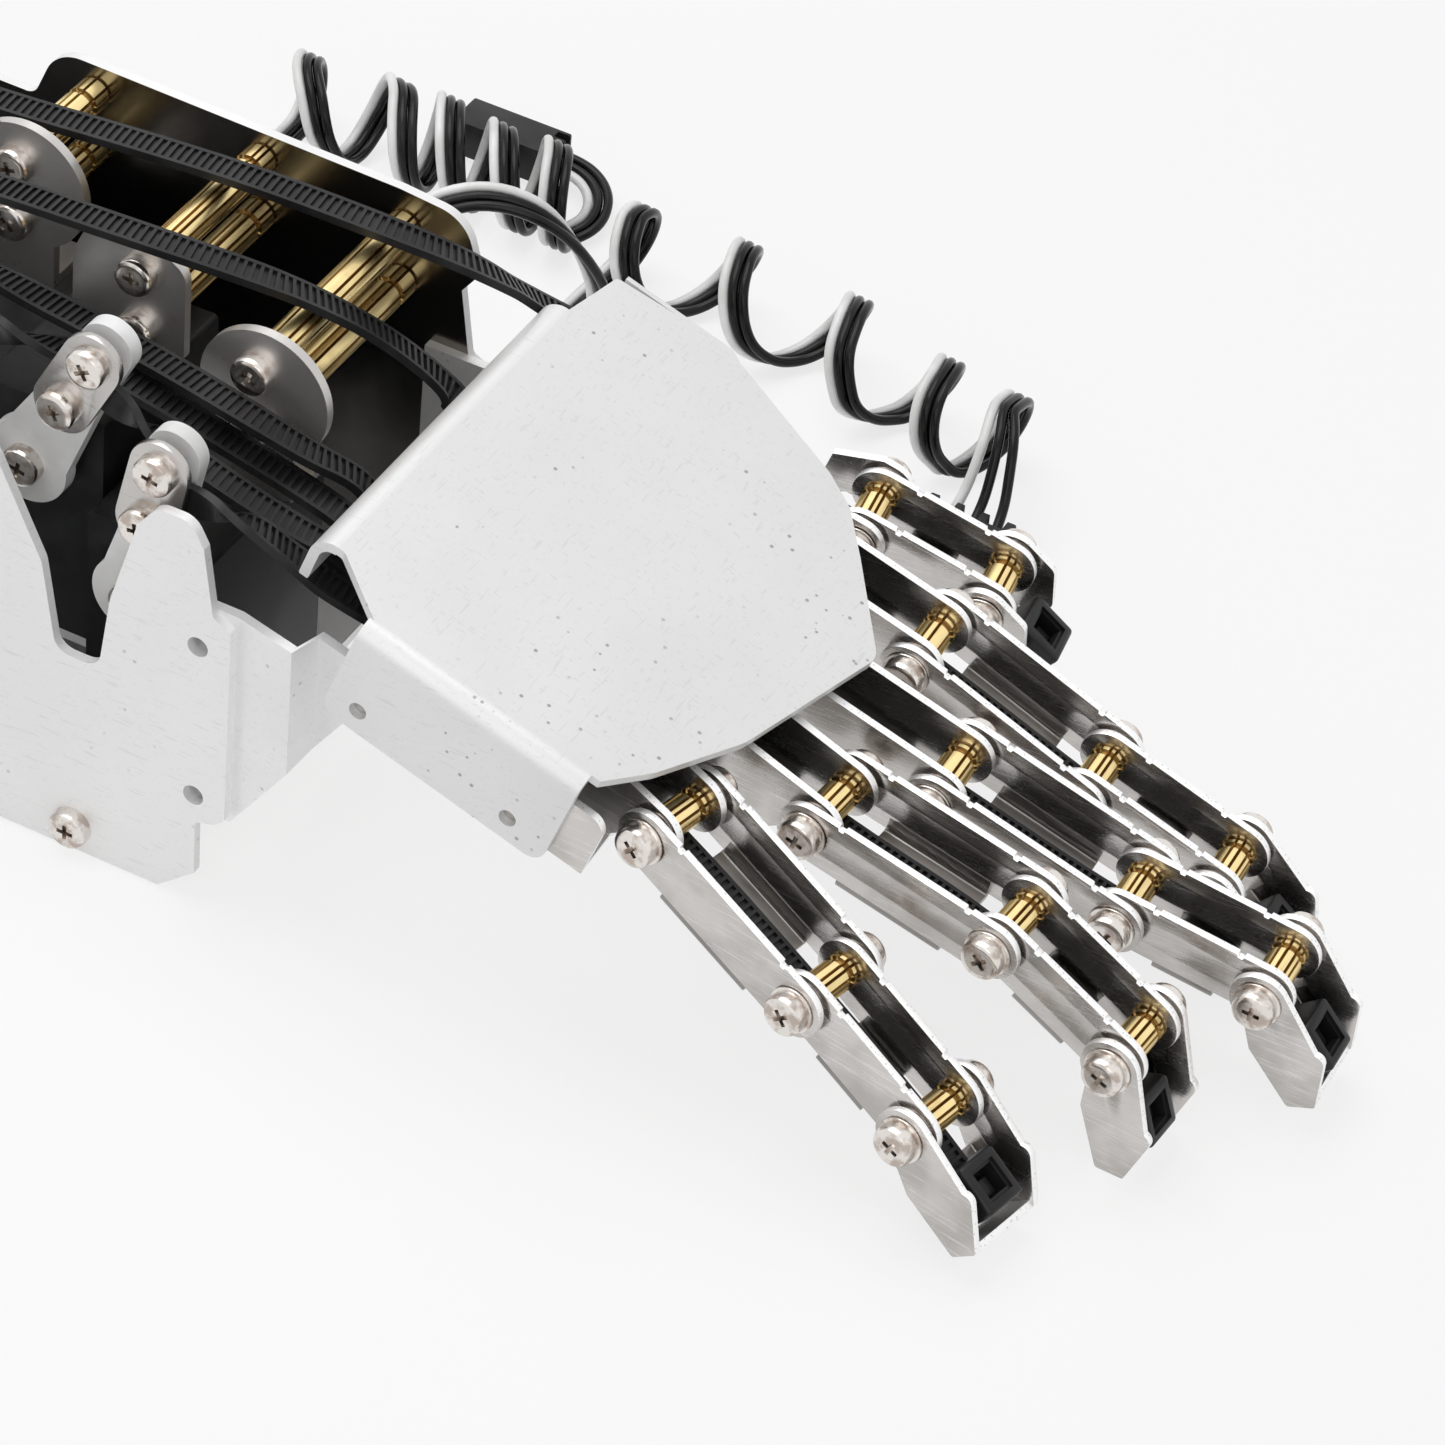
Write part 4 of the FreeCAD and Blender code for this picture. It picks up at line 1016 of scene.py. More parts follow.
# %% Routes of the two leads
# Places in the drawing frame: the run from the grommet to the coil, the coil's axis, the x of each loop's
# top, and the tail to the plug. "spread" is how far the wires part at the plug, as a factor, and "lean" is
# how far a loop leans, in millimetres.
LEADS = {
    "lead_1": {
        "run": [(-20.0, 71.0, 54.0), (-20.0, 80.0, 54.0), (-17.0, 88.0, 57.5), (-9.0, 93.0, 60.5),
                (0.0, 97.0, 57.0), (5.0, 102.0, 45.0), (3.0, 108.0, 32.0), (-4.0, 114.0, 20.0),
                (-12.0, 121.0, 10.0), (-18.0, 132.0, 4.0), (-20.0, 142.0, 2.0)],
        "axis": [(-22.0, 155.0, 8.8), (-4.0, 156.0, 8.8), (14.0, 154.0, 8.8), (32.0, 149.6, 8.8),
                 (56.0, 142.4, 8.8)],
        "tops": [-20.0, -16.2, 3.0, 24.0, 42.0, 54.0],
        "turns": 4.5,
        "tail": [(56.0, 137.5, 15.0), (56.8, 134.0, 10.5), (57.2, 131.0, 6.8), (57.2, 128.0, 5.2)],
        "spread": 2.4,
        "lean": -1.5,
    },
    "lead_2": {
        "run": [(-95.0, 71.0, 20.0), (-95.0, 82.0, 20.0), (-94.0, 94.0, 13.0), (-90.0, 108.0, 6.0),
                (-85.0, 124.0, 2.6), (-82.0, 140.0, 2.0), (-81.0, 150.0, 1.4)],
        "axis": [(-83.0, 160.5, 8.8), (-66.0, 162.5, 8.8), (-50.0, 162.4, 8.8), (-28.0, 161.2, 8.8)],
        "tops": [-81.0, -78.5, -61.5, -53.0, -43.0, -33.0, -29.5],
        "turns": 5.0,
        "tail": [(-28.6, 165.7, 2.0), (-29.6, 170.6, 2.8), (-32.6, 174.0, 3.4), (-36.6, 175.5, 3.8),
                 (-39.6, 175.5, 3.8)],
        "spread": 1.0,
        "lean": 2.6,
    },
}
LOOP_R = 7.65
LOOP_UNEVEN = 0.035
UNEVEN_TURN = 2.3
TURN_POINTS = 16
print("routes of", list(LEADS))

# %% Loops of a coil
def loop_x(tops, turn):
    """How far along the axis a coil is after some turns. A loop's top comes after each half turn."""
    if turn < 0.5:
        return tops[0] + (tops[1] - tops[0]) * turn * 2
    share = turn + 0.5
    k = min(int(share), len(tops) - 2)
    return tops[k] + (tops[k + 1] - tops[k]) * (share - k)


def coil_points(axis, tops, turns, lean):
    """Places along the loops, from the bottom of the first one over its back and top to its front. Each loop
    leans: its front lies further along the axis than its back."""
    line = smooth_line(axis)
    places = []
    for step in range(int(turns * TURN_POINTS) + 1):
        turn = step / TURN_POINTS
        x = loop_x(tops, turn)
        near = min(range(len(line)), key=lambda i: abs(line[i].x - x))
        middle = line[near].copy()
        middle.x = x
        radius = LOOP_R * (1.0 - LOOP_UNEVEN * (1 + math.sin(UNEVEN_TURN * turn)))
        angle = turn * 2 * math.pi
        offset = Vector((0, math.sin(angle), -math.cos(angle))) * radius
        offset.z -= (LOOP_R - radius)
        offset.x = -lean * math.sin(angle) * min(1.0, turn * 2)
        places.append(middle + offset)
    return places


print("coil tools ready")

# %% [markdown]
# ## Three wires side by side
# A lead's wires are moulded together, so all three follow one line. One wide bevel profile could carry three
# bumps, but the wires part near the plug and have two colours, so each is a round curve of its own. At every
# point of the line a side direction is worked out, which turns only as far as the line makes it.

# %% Three wires along a line
WIRE_R = 0.8
WIRE_PITCH = 1.6
FLAT_PULL = 0.25
FAN_POINTS = 22


def beside(line, fan):
    """For each point of a line, the direction in which the wires lie beside each other, and their spacing."""
    sides = []
    side = Vector((1, 0, 0))
    total = len(line)
    for i in range(total):
        heading = (line[min(i + 1, total - 1)] - line[max(i - 1, 0)]).normalized()
        wish = Vector((1, 0, 0)) - heading * heading.x
        side = side - heading * side.dot(heading)
        side = (side.normalized() + wish * FLAT_PULL * wish.length).normalized()
        sides.append(side.copy())
    parted = [max(0.0, (i - total + FAN_POINTS) / FAN_POINTS) for i in range(total)]
    spaces = [WIRE_PITCH * (1 + (fan - 1) * share) for share in parted]
    return list(zip(sides, spaces))


def wire(name, places, material):
    """One round wire along close places, as a mesh."""
    curve = bpy.data.curves.new(name, "CURVE")
    curve.dimensions = "3D"
    curve.bevel_depth = WIRE_R
    curve.bevel_resolution = 3
    curve.use_fill_caps = True
    spline = curve.splines.new("POLY")
    spline.points.add(len(places) - 1)
    for point, place in zip(spline.points, places):
        point.co = (*place, 1.0)
    curve.materials.append(material)
    piece = bpy.data.objects.new(name, curve)
    bpy.context.collection.objects.link(piece)
    fresh()
    piece.select_set(True)
    bpy.context.view_layer.objects.active = piece
    bpy.ops.object.convert(target="MESH")
    return bpy.context.object


def ribbon(name, line, fan):
    """A white and two black wires side by side along a line."""
    sides = beside(line, fan)
    rows = ((-1, white_wire), (0, black_wire), (1, black_wire))
    wires = []
    for row, material in rows:
        places = [place + side * (row * space) for place, (side, space) in zip(line, sides)]
        wires.append(wire(name, places, material))
    return joined(name, wires)


print("wires of", 2 * WIRE_R, "mm")

# %% [markdown]
# ## Plugs
# Each lead ends in a small black housing with three open slots, one for each wire. The slots could be inset
# and pushed in, but they are open at the top and at the rear, so three blocks are cut away with a Boolean.
# The rear plug is turned to point back along the forearm.

# %% Plugs with slots for the wires
# Each plug: its size, how far its middle lies above the end of its lead, and its turn
PLUGS = {
    "lead_1": ((14.3, 12.0, 8.0), -0.6, 0.0),
    "lead_2": ((7.2, 18.0, 6.6), 0.1, -90.0),
}
PLUG_EDGE = 0.35
SLOT_WIDE = 0.21
SLOT_APART = 0.29
SLOT_LONG = 3.6
SLOT_BACK = 0.4
SLOT_HIGH = 0.62
SLOT_RISE = 0.24


def plug(name, foot, size, middle, turn):
    """A plug housing that points along -y before it is turned, with an open slot for each wire."""
    wide, long, high = size
    fresh()
    bpy.ops.mesh.primitive_cube_add(size=1.0)
    block = bpy.context.object
    edit(block)
    bpy.ops.transform.resize(value=size)
    bpy.ops.mesh.bevel(offset=PLUG_EDGE, segments=2, affect="EDGES")
    for row in (-1, 0, 1):
        fresh()
        place = (row * wide * SLOT_APART, long / 2 - SLOT_BACK, high / 2 - high * SLOT_RISE)
        bpy.ops.mesh.primitive_cube_add(size=1.0, location=place)
        cutter = bpy.context.object
        turn_mesh(cutter, Matrix.Identity(4))
        edit(cutter)
        slot = (wide * SLOT_WIDE, SLOT_LONG, high * SLOT_HIGH)
        bpy.ops.transform.resize(value=slot, center_override=place)
        fresh()
        change(block, "BOOLEAN", object=cutter, operation="DIFFERENCE", solver="EXACT")
        discard(cutter)
    dress(block, plug_finish)
    block.name = name + "_plug_body"
    block.data.transform(moved(*foot) @ turned("Z", turn) @ moved(0, -long / 2, middle))
    return finished(block, "hand_frame", [name + "_plug"])


plugs = {name: plug(name, LEADS[name]["tail"][-1], *values) for name, values in PLUGS.items()}
print(len(plugs), "plugs made")

# %% [markdown]
# ## Laying the leads
# Now the line, the wires and the plugs come together.

# %% Leads
SMOOTH_WIRE = 60.0
for name, lead in LEADS.items():
    coil = coil_points(lead["axis"], lead["tops"], lead["turns"], lead["lean"])
    line = smooth_line(lead["run"] + coil + lead["tail"])
    wires = ribbon(name + "_wires", line, lead["spread"])
    piece = finished(wires, "hand_frame", [name], SMOOTH_WIRE)
    length_of(line) * MM
    print(name, "is", round(length_of(line)), "mm long, with", len(line), "points")

# %% [markdown]
# ## Forearm hardware
# Long fluted spacers cross the forearm from plate to plate, with screws at both ends. They could be the short
# spacer stretched, but that would stretch its groove too, so the same function makes each one at its length.

# %% Spacers and face screws
FOREARM_WIDE = 69.5
PLATE_SHEET = 1.5
TIE_HIGH = 4.4
TAB_PITCH = 9.4
TIES = [-19.1, -67.0, -115.0]
# Each tab: the x and z of its upper spacer, and the y of its face
TAB_UPPER = [(-59.7, 72.0, 47.5), (-32.3, 71.7, 36.0), (-9.1, 69.8, 28.3)]
LONG_GROOVE = 4.0
TIE_TURN = 40.0
NEAR_TURN = 35.0
FAR_TURN = 50.0


def face_screw(x, z, y, side, turn):
    """A screw head standing on a plate's face, toward smaller or larger y."""
    return copy_of(head_model, "part", moved(x, y, z) @ turned("X", -90.0 * side) @ turned("Z", turn))


long_spacers = []
plate_screws = []
rows = [(x, TIE_HIGH, PLATE_SHEET, 0.0) for x in TIES]
for x, z, y in TAB_UPPER:
    rows += [(x, z, y + PLATE_SHEET, y), (x, z - TAB_PITCH, y + PLATE_SHEET, y)]
for i, (x, z, start, face) in enumerate(rows):
    model = fluted_spacer(FOREARM_WIDE - PLATE_SHEET - start, LONG_GROOVE)
    place = moved(x, start, z) @ turned("X", -90.0) @ turned("Z", TIE_TURN * i)
    long_spacers.append(turn_mesh(model, place))
    plate_screws.append(face_screw(x, z, face, -1, NEAR_TURN * i))
    plate_screws.append(face_screw(x, z, FOREARM_WIDE, 1, FAR_TURN * i))
finished(joined("forearm_spacers", long_spacers), "hand_frame", ["spacers"])
finished(joined("forearm_screw_heads", plate_screws), "hand_frame", ["forearm_screws"])
print("forearm spacers and screws placed")

# %% [markdown]
# ## Horn clamps
# On each servo horn a small oblong plate clamps the strap's end with two screws, and a third screw holds the
# horn on its shaft. The CAD model's own plain clamps could be given a finish and kept. New ones from the same
# flat curves and screw heads as the links make all screws of the hand look alike.

# %% Horn clamps
# Each servo: its shaft's x and z, the y of its lane, the side that its clamp faces, and its horn's tilt
SERVOS = {
    "little": (-14.9, 41.8, 6.5, 1, 12.0),
    "ring": (-36.7, 51.0, 13.5, 1, 27.0),
    "middle": (-57.5, 45.0, 20.0, 1, 14.0),
    "index": (-78.5, 51.0, 26.4, 1, 20.0),
    "thumb": (-99.5, 51.0, 33.0, 1, 14.0),
    "swing": (-120.5, 51.0, 53.0, -1, 14.0),
}
ARM_R = 27.4
CLAMP_PITCH = 9.8
CLAMP_GAP = 1.3
ARM_GAP = 1.2
CLAMP_ROUND = 4.5
CLAMP_STEPS = 16
low_screw = ARM_R - CLAMP_PITCH
upper_end = arc((0, ARM_R), CLAMP_ROUND, 0, 180, CLAMP_STEPS)
oblong = upper_end + arc((0, low_screw), CLAMP_ROUND, 180, 360, CLAMP_STEPS)
clamp_holes = [(0, low_screw, HOLE_R), (0, ARM_R, HOLE_R)]
clamp_sheet = satin_plate("clamp_sheet", (0.60, 0.58, 0.56), 0.70, 0.26, 0.4, 1.0)
for i, (name, (x, z, lane, side, tilt)) in enumerate(SERVOS.items()):
    plate = turn_mesh(cut_sheet("clamp", oblong, clamp_holes, LINK_SHEET), STAND)
    plate.data.transform(moved(0, -side * (CLAMP_GAP + LINK_SHEET / 2), 0))
    dress(plate, clamp_sheet)
    outer = -side * (CLAMP_GAP + LINK_SHEET)
    heads = [
        face_screw(0, low_screw, outer, -side, 20.0 + 33.0 * i),
        face_screw(0, ARM_R, outer, -side, 55.0 * i),
        face_screw(0, 0, side * ARM_GAP, -side, 15.0 * i),
    ]
    clamp = joined(name + "_horn_clamp", [plate] + heads)
    clamp.data.transform(moved(x, lane, z) @ turned("Y", tilt))
    finished(clamp, name + "_horn_body", [name + "_clamp"])
discard(head_model, washer_model, spacer_model, hardware_model)
print(len(SERVOS), "horn clamps placed")

# %% [markdown]
# ## Toothed straps
# The straps are nylon cable ties: a thin band with smooth rails along both edges and a ladder of small teeth
# between them. A bump in the material would look flat from the side. So one tooth's length is modelled, an
# Array modifier repeats it, and a Curve modifier lays it along its route.

# %% One tooth of a strap
STRAP_WIDE = 4.8
STRAP = 1.2
RAIL = 0.62
TOOTH = 1.2
BAND = 0.62
BAND_DROP = 0.18
RAIL_RISE = 0.38
TOOTH_RISE = 0.36
TOOTH_LINES = (0.18, 0.30, 0.72)


def strap_cell():
    """A piece of strap, one tooth long, from x = 0 on, with its teeth up."""
    fresh()
    bpy.ops.mesh.primitive_cube_add(size=1.0, location=(TOOTH / 2, 0, 0))
    cell = bpy.context.object
    turn_mesh(cell, Matrix.Identity(4))
    edit(cell)
    bpy.ops.transform.resize(value=(TOOTH, STRAP_WIDE, STRAP * BAND), center_override=(TOOTH / 2, 0, 0))
    bpy.ops.transform.translate(value=(0, 0, -STRAP * BAND_DROP))
    edge = STRAP_WIDE / 2 - RAIL
    for y in (-edge, edge):
        bpy.ops.mesh.select_all(action="SELECT")
        bpy.ops.mesh.bisect(plane_co=(0, y, 0), plane_no=(0, 1, 0), threshold=0.0001)
    for share in TOOTH_LINES:
        bpy.ops.mesh.select_all(action="SELECT")
        bpy.ops.mesh.bisect(plane_co=(TOOTH * share, 0, 0), plane_no=(1, 0, 0), threshold=0.0001)
    pick(cell, "FACE", lambda middle, normal: normal.z > 0.9 and abs(middle.y) > edge)
    bpy.ops.mesh.extrude_region_move(TRANSFORM_OT_translate={"value": (0, 0, STRAP * RAIL_RISE)})
    pick(cell, "FACE", lambda middle, normal: normal.z > 0.9 and abs(middle.y) < edge
         and TOOTH * TOOTH_LINES[1] < middle.x < TOOTH * TOOTH_LINES[2])
    bpy.ops.mesh.extrude_region_move(TRANSFORM_OT_translate={"value": (0, 0, STRAP * TOOTH_RISE)})
    pick(cell, "FACE", lambda middle, normal: abs(normal.x) > 0.9
         and abs(middle.x - TOOTH / 2) > 0.499 * TOOTH)
    bpy.ops.mesh.delete(type="ONLY_FACE")
    fresh()
    return dress(cell, strap_finish)


cell_model = strap_cell()
print("one tooth has", len(cell_model.data.polygons), "faces")

# %% [markdown]
# ## A strap on its route
# A strap stands on edge in its clamp and lies flat further on. It could be twisted by hand afterwards, but a
# curve can carry a tilt at each of its points. The row of teeth is stretched by a hair, so that a whole number
# of them fits, and its open ends are closed before the Curve modifier bends it.

# %% A strap along its route
UPRIGHT_POINTS = 3


def strap_line(name, places):
    """A curve for a strap, which stands on edge at its first points, inside the clamp."""
    curve = bpy.data.curves.new(name, "CURVE")
    curve.dimensions = "3D"
    curve.twist_mode = "Z_UP"
    curve.resolution_u = 12
    spline = curve.splines.new("NURBS")
    spline.points.add(len(places) - 1)
    for i, (point, place) in enumerate(zip(spline.points, places)):
        point.co = (*place, 1.0)
        point.tilt = math.radians(-90.0) if i < UPRIGHT_POINTS else 0.0
    spline.order_u = 3
    spline.use_endpoint_u = True
    holder = bpy.data.objects.new(name, curve)
    bpy.context.collection.objects.link(holder)
    return holder


def strap_piece(name, holder, start, end):
    """The stretch of a strap between two distances along its line."""
    count = max(1, round((end - start) / TOOTH))
    cell = copy_of(cell_model, name)
    change(cell, "ARRAY", fit_type="FIXED_COUNT", count=count, use_merge_vertices=True, merge_threshold=0.001)
    stretch = (end - start) / (count * TOOTH)
    cell.data.transform(moved(start, 0, 0) @ Matrix.Diagonal((stretch, 1, 1, 1)))
    edit(cell)
    bpy.ops.mesh.select_mode(type="EDGE")
    bpy.ops.mesh.select_all(action="DESELECT")
    bpy.ops.mesh.select_non_manifold(extend=False)
    bpy.ops.mesh.edge_face_add()
    change(cell, "CURVE", object=holder, deform_axis="POS_X")
    return cell


def distance_to(line, place):
    """How far along a line its nearest point to a place lies."""
    near = min(range(len(line)), key=lambda i: (line[i] - place).length)
    return length_of(line[:near + 1])


print("strap tools ready")

# %% Where the straps run
STRAP_DROP = 3.4
HELD = (-4.0, 2.0, 7.0)
STEEP_TILT = 20


def spot(place, x):
    """A point on a strap's way through a link, in the drawing frame."""
    return place @ Vector((x, 0.0, -STRAP_DROP))


def in_palm(x, y, z):
    """A point of the palm, in the drawing frame."""
    return PALM @ Vector((x, y, z))


def clamp_places(name):
    """Three points of the strap's straight stretch inside its clamp."""
    x, z, lane, _, tilt = SERVOS[name]
    lean = math.radians(tilt)
    radius = ARM_R - CLAMP_PITCH / 2
    middle = Vector((x + radius * math.sin(lean), lane, z + radius * math.cos(lean)))
    heading = Vector((math.cos(lean), 0, -math.sin(lean))) if tilt > STEEP_TILT else Vector((1, 0, 0))
    return [middle + heading * reach for reach in HELD]


# Places of the straps above the servos, and where across the palm each one goes under the cover
FOREARM_ROUTES = {
    "little": [(3.6, 7.8, 62.9)],
    "ring": [(-14.0, 13.5, 65.4), (-2.5, 14.0, 61.2), (6.5, 15.6, 57.3)],
    "middle": [(-36.0, 20.2, 68.0), (-23.6, 20.4, 66.6), (-6.8, 20.6, 62.8), (6.8, 22.0, 58.0)],
    "index": [(-50.0, 26.4, 70.0), (-24.0, 24.2, 69.0), (-7.1, 22.6, 67.2), (2.0, 24.6, 62.9),
              (7.4, 27.9, 59.2)],
    "thumb": [(-70.0, 33.0, 77.5), (-53.0, 33.1, 79.2), (-33.5, 33.2, 80.2), (-14.9, 37.4, 77.8),
              (-7.2, 41.7, 74.0), (0.2, 47.3, 67.6), (7.7, 52.0, 59.4)],
    "swing": [(-88.0, 53.0, 75.4), (-65.4, 53.4, 76.2), (-46.7, 55.4, 76.6), (-27.2, 57.4, 76.6),
              (-7.4, 59.2, 75.4), (4.8, 65.0, 70.2), (11.2, 73.0, 61.2)],
}
ENTRY = {"little": 8.8, "ring": 14.4, "middle": 20.2, "index": 26.6}
print(len(FOREARM_ROUTES), "strap routes")

# %% [markdown]
# ## Straps that follow the joints
# A strap passes the horn, the palm and up to three joints.

# %% Laying a strap
SMOOTH_STRAP = 25.0


def lay_strap(name, places, cuts, bodies, node):
    """Lays a strap along its places, cut into pieces at the given places."""
    holder = strap_line(name, places)
    line = smooth_line(places)
    marks = [0.0] + [distance_to(line, cut) for cut in cuts] + [length_of(line)]
    for i, (start, end) in enumerate(zip(marks, marks[1:])):
        piece = strap_piece(f"{name}_strap_{i + 1}", holder, start, end)
        piece = finished(piece, None, [node] if i == 0 else [], SMOOTH_STRAP)
        first, second, begin, finish = bodies[i]
        tuple(DRAWING @ begin)
        tuple(DRAWING @ finish)
        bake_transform(piece)
    discard(holder)
    print(name, "strap is", round(length_of(line)), "mm long")


def corner_spot(place, length, bend):
    """Where a strap turns its corner under a joint, in the frame before that joint."""
    return spot(place, length - STRAP_DROP * math.tan(math.radians(bend / 2)))


# %% Straps of the fingers
JOINT_REACH = 5.0
STRAP_END = 8.6
BEFORE_KNUCKLE = -25.0
CUTS = (-9.0, 15.0, 11.0)
for name, (_, _, _, bends) in FINGERS.items():
    base, first, second, third = frames[name]
    held = clamp_places(name)
    route = [Vector(place) for place in FOREARM_ROUTES[name]]
    entry = [in_palm(-9.5, ENTRY[name], -10.0), in_palm(-3.0, ENTRY[name] + 0.6, -10.8)]
    joints = zip((base, first, second), (0.0, PROXIMAL, MIDDLE), bends)
    corners = [corner_spot(*joint) for joint in joints]
    places = held + route + entry + [spot(base, BEFORE_KNUCKLE)] + corners + [spot(third, STRAP_END)]
    cuts = [spot(place, reach) for place, reach in zip((base, first, second), CUTS)]
    at_rest = route[0].lerp(entry[0], 0.4) if len(route) == 1 else route[0]
    before_middle = spot(first, PROXIMAL - JOINT_REACH)
    before_tip = spot(second, MIDDLE - JOINT_REACH)
    bodies = [
        (name + "_horn_body", "hand_frame", held[2], at_rest),
        ("hand_frame", name + "_proximal", spot(base, -JOINT_REACH), spot(first, JOINT_REACH)),
        (name + "_proximal", name + "_middle", before_middle, spot(second, JOINT_REACH)),
        (name + "_middle", name + "_tip", before_tip, spot(third, JOINT_REACH)),
    ]
    lay_strap(name, places, cuts, bodies, name + "_strap")

# %% Strap that bends the thumb
held = clamp_places("thumb")
places = held + [Vector(place) for place in FOREARM_ROUTES["thumb"]]
places += [in_palm(-9.5, 49.6, -10.0), in_palm(-3.0, 52.4, -10.8), in_palm(20.0, 75.0, -12.6)]
places += [spot(thumb_base, -6.5), spot(thumb_base, 0.0)]
places += [corner_spot(thumb_first, THUMB_LONG, THUMB_TIP_BEND), spot(thumb_second, 6.7)]
cuts = [spot(thumb_base, -14.0), spot(thumb_first, 4.0), spot(thumb_first, 11.0)]
before_tip = spot(thumb_first, THUMB_LONG - JOINT_REACH)
bodies = [
    ("thumb_horn_body", "hand_frame", held[2], Vector(FOREARM_ROUTES["thumb"][1])),
    ("hand_frame", "thumb_base_body", spot(thumb_base, -13.0), spot(thumb_base, -5.0)),
    ("thumb_base_body", "thumb_link_body", spot(thumb_first, 4.5), spot(thumb_first, 9.0)),
    ("thumb_link_body", "thumb_tip_body", before_tip, spot(thumb_second, 4.0)),
]
lay_strap("thumb", places, cuts, bodies, "thumb_strap")

# %% Strap that swings the thumb
held = clamp_places("swing")
places = held + [Vector(place) for place in FOREARM_ROUTES["swing"]]
places += [in_palm(-3.0, 73.4, -6.6), in_palm(8.8, 77.4, -8.4)]
cuts = [in_palm(-6.0, 72.8, -5.0)]
bodies = [
    ("swing_horn_body", "hand_frame", held[2], Vector(FOREARM_ROUTES["swing"][1])),
    ("hand_frame", "thumb_base_body", in_palm(-5.0, 73.0, -6.0), in_palm(7.0, 77.0, -8.2)),
]
lay_strap("swing", places, cuts, bodies, "swing_strap")
discard(cell_model)

# %% [markdown]
# ## Strap heads
# In each finger tip sits the strap's own head, a small block with a slot through which a tie is normally
# pulled. It could be put together from small blocks, but a bevelled block whose top is inset and pressed in
# stays one closed shape. A small pawl is left standing in the slot.

# %% Strap head
HEAD_BOX = (7.6, 7.4, 5.6)
HEAD_EDGE = 0.7
SLOT_RIM = 0.7
SLOT_DISH = 0.5
SLOT_WALL = 0.45
SLOT_DEEP = 2.9
PAWL = 0.7
PAWL_LEAN = 0.5
PAWL_HIGH = 1.4
PAWL_EDGE = 0.2


def strap_head_model():
    """A strap head about its own middle, with its slot up."""
    fresh()
    bpy.ops.mesh.primitive_cube_add(size=1.0)
    block = bpy.context.object
    edit(block)
    bpy.ops.transform.resize(value=HEAD_BOX)
    bpy.ops.mesh.bevel(offset=HEAD_EDGE, segments=3, affect="EDGES")
    top = HEAD_BOX[2] / 2
    pick(block, "FACE", lambda middle, normal: middle.z > top - 0.01)
    dish = (SLOT_RIM, (0, 0, -SLOT_DISH))
    slot = (SLOT_WALL, (0, 0, -SLOT_DEEP))
    pawl = (PAWL, (PAWL_LEAN, 0, PAWL_HIGH))
    for inset, move in (dish, slot, pawl):
        bpy.ops.mesh.inset(thickness=inset)
        bpy.ops.mesh.extrude_region_move(TRANSFORM_OT_translate={"value": move})
    bpy.ops.mesh.bevel(offset=PAWL_EDGE, segments=2, affect="EDGES")
    fresh()
    return dress(block, strap_finish)


FINGER_SEAT = 7.56
THUMB_SEAT = 5.7
SEAT_HIGH = -4.0
strap_head = strap_head_model()
seats = [(name, frames[name][3], FINGER_SEAT, name + "_tip") for name in FINGERS]
seats.append(("thumb", thumb_second, THUMB_SEAT, "thumb_tip_body"))
for name, tip, seat, body in seats:
    place = tip @ moved(seat + HEAD_BOX[0] / 2, 0, SEAT_HIGH + HEAD_BOX[2] / 2)
    finished(copy_of(strap_head, name + "_strap_head", place), body)
discard(strap_head)
print("strap heads in five tips")

# %% [markdown]
# ## Table
# The hand was photographed on a nearly pure white ground, with faint soft shadows. A very bright lamp would
# burn out the metal as well. The table instead glows by itself, but only for the camera and for mirrors, and
# keeps a matt part that still catches the shadows.

# %% Table
TABLE_SIZE = 6.0
TABLE_DROP = 0.0004
TABLE_WHITE = (0.93, 0.93, 0.93)
GLOW_SHARE = 0.75


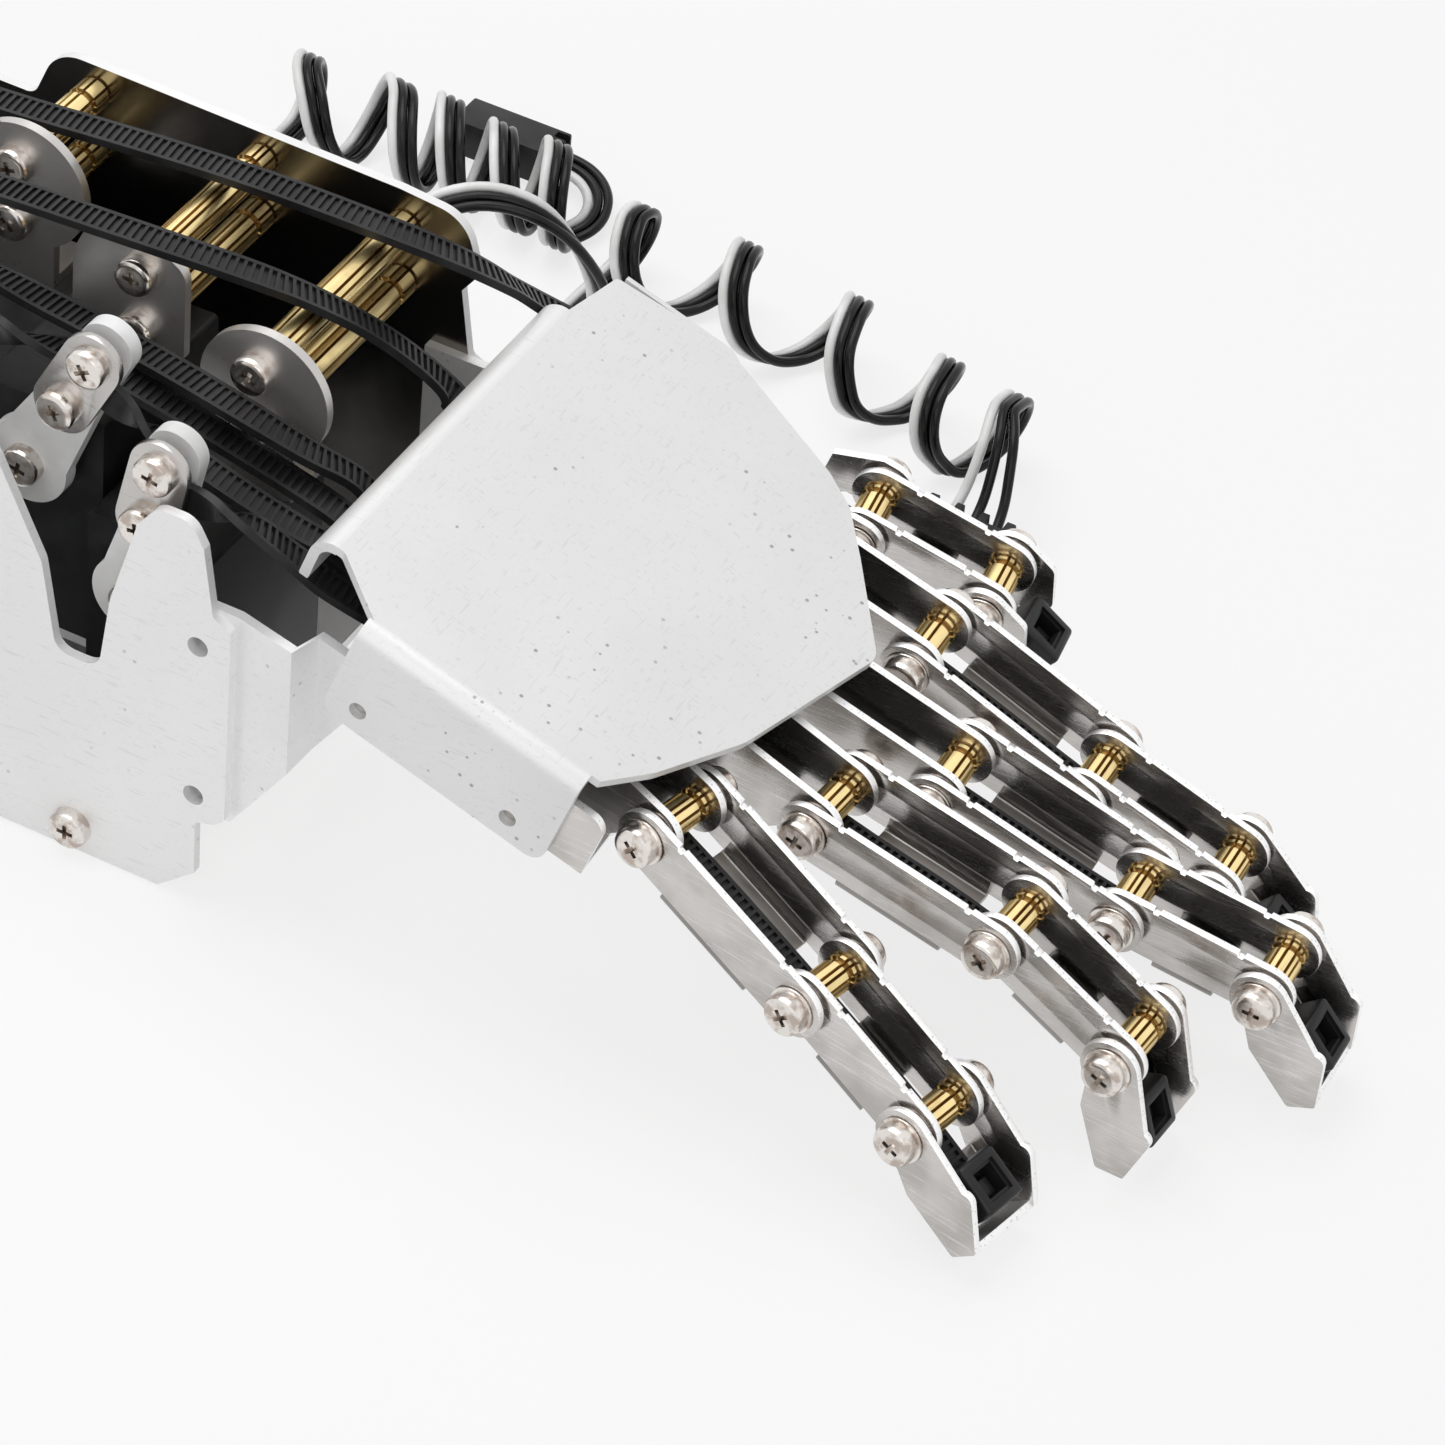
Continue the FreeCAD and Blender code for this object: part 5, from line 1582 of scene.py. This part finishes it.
def table_white():
    """White matt table top. To the camera and in reflections it is mostly its own white."""
    finish = Finish("table_white", Base_Color=TABLE_WHITE, Roughness=0.9)
    camera_ray = finish.node("ShaderNodeLightPath", {}, {}, "Is Camera Ray")
    glossy_ray = finish.node("ShaderNodeLightPath", {}, {}, "Is Glossy Ray")
    seen = camera_ray.math("MAXIMUM", glossy_ray)
    glow = finish.node("ShaderNodeEmission", {}, {})
    matt = Socket(finish, finish.shader.outputs[0])
    output = next(node for node in finish.tree.nodes if node.type == "OUTPUT_MATERIAL")
    blend = finish.node("ShaderNodeMixShader", {}, [seen * GLOW_SHARE, matt, glow])
    finish.put(output.inputs["Surface"], blend)
    return finish.material


fresh()
bpy.ops.mesh.primitive_plane_add(size=TABLE_SIZE, location=(0.0, 0.0, -TABLE_DROP))
table = bpy.context.object
table.name = "table"
table.data.materials.append(table_white())
print("table of", TABLE_SIZE, "m")

# %% [markdown]
# ## World and lamps
# Bright sheet metal looks like what it mirrors. A picture of a studio could be wrapped round the scene, but
# it would need a file, so the world is plain white to the camera and to mirrors, and much dimmer as a light.
# Two soft lamps, a key from above and a fill from the camera's side, then give the faces their shape.

# %% World
WORLD_LIGHT = 0.30
WORLD_SEEN = 1.0
world = bpy.data.worlds.new("studio")
bpy.context.scene.world = world
world.use_nodes = True
tree = world.node_tree
background = tree.nodes["Background"]
background.inputs["Color"].default_value = (1.0, 1.0, 1.0, 1.0)
rays = tree.nodes.new("ShaderNodeLightPath")
seen = tree.nodes.new("ShaderNodeMath")
seen.operation = "MAXIMUM"
tree.links.new(rays.outputs["Is Camera Ray"], seen.inputs[0])
tree.links.new(rays.outputs["Is Glossy Ray"], seen.inputs[1])
level = tree.nodes.new("ShaderNodeMapRange")
level.inputs["To Min"].default_value = WORLD_LIGHT
level.inputs["To Max"].default_value = WORLD_SEEN
tree.links.new(seen.outputs[0], level.inputs["Value"])
tree.links.new(level.outputs[0], background.inputs["Strength"])
print("world lights at", WORLD_LIGHT, "and is seen at", WORLD_SEEN)

# %% Lamps
def lamp(name, place, aim, size, power):
    """A soft square lamp aimed at a place of the drawing frame."""
    data = bpy.data.lights.new(name, "AREA")
    data.size = size
    data.energy = power
    holder = bpy.data.objects.new(name, data)
    bpy.context.collection.objects.link(holder)
    holder.location = at(*place)
    direction = at(*aim) - holder.location
    holder.rotation_euler = direction.to_track_quat("-Z", "Y").to_euler()


lamp("key", (-250.0, 150.0, 900.0), (20.0, 40.0, 40.0), 0.8, 5.0)
lamp("fill", (260.0, -620.0, 420.0), (0.0, 20.0, 30.0), 0.8, 1.7)
bpy.context.scene.view_settings.view_transform = "Standard"
print("two lamps aimed")
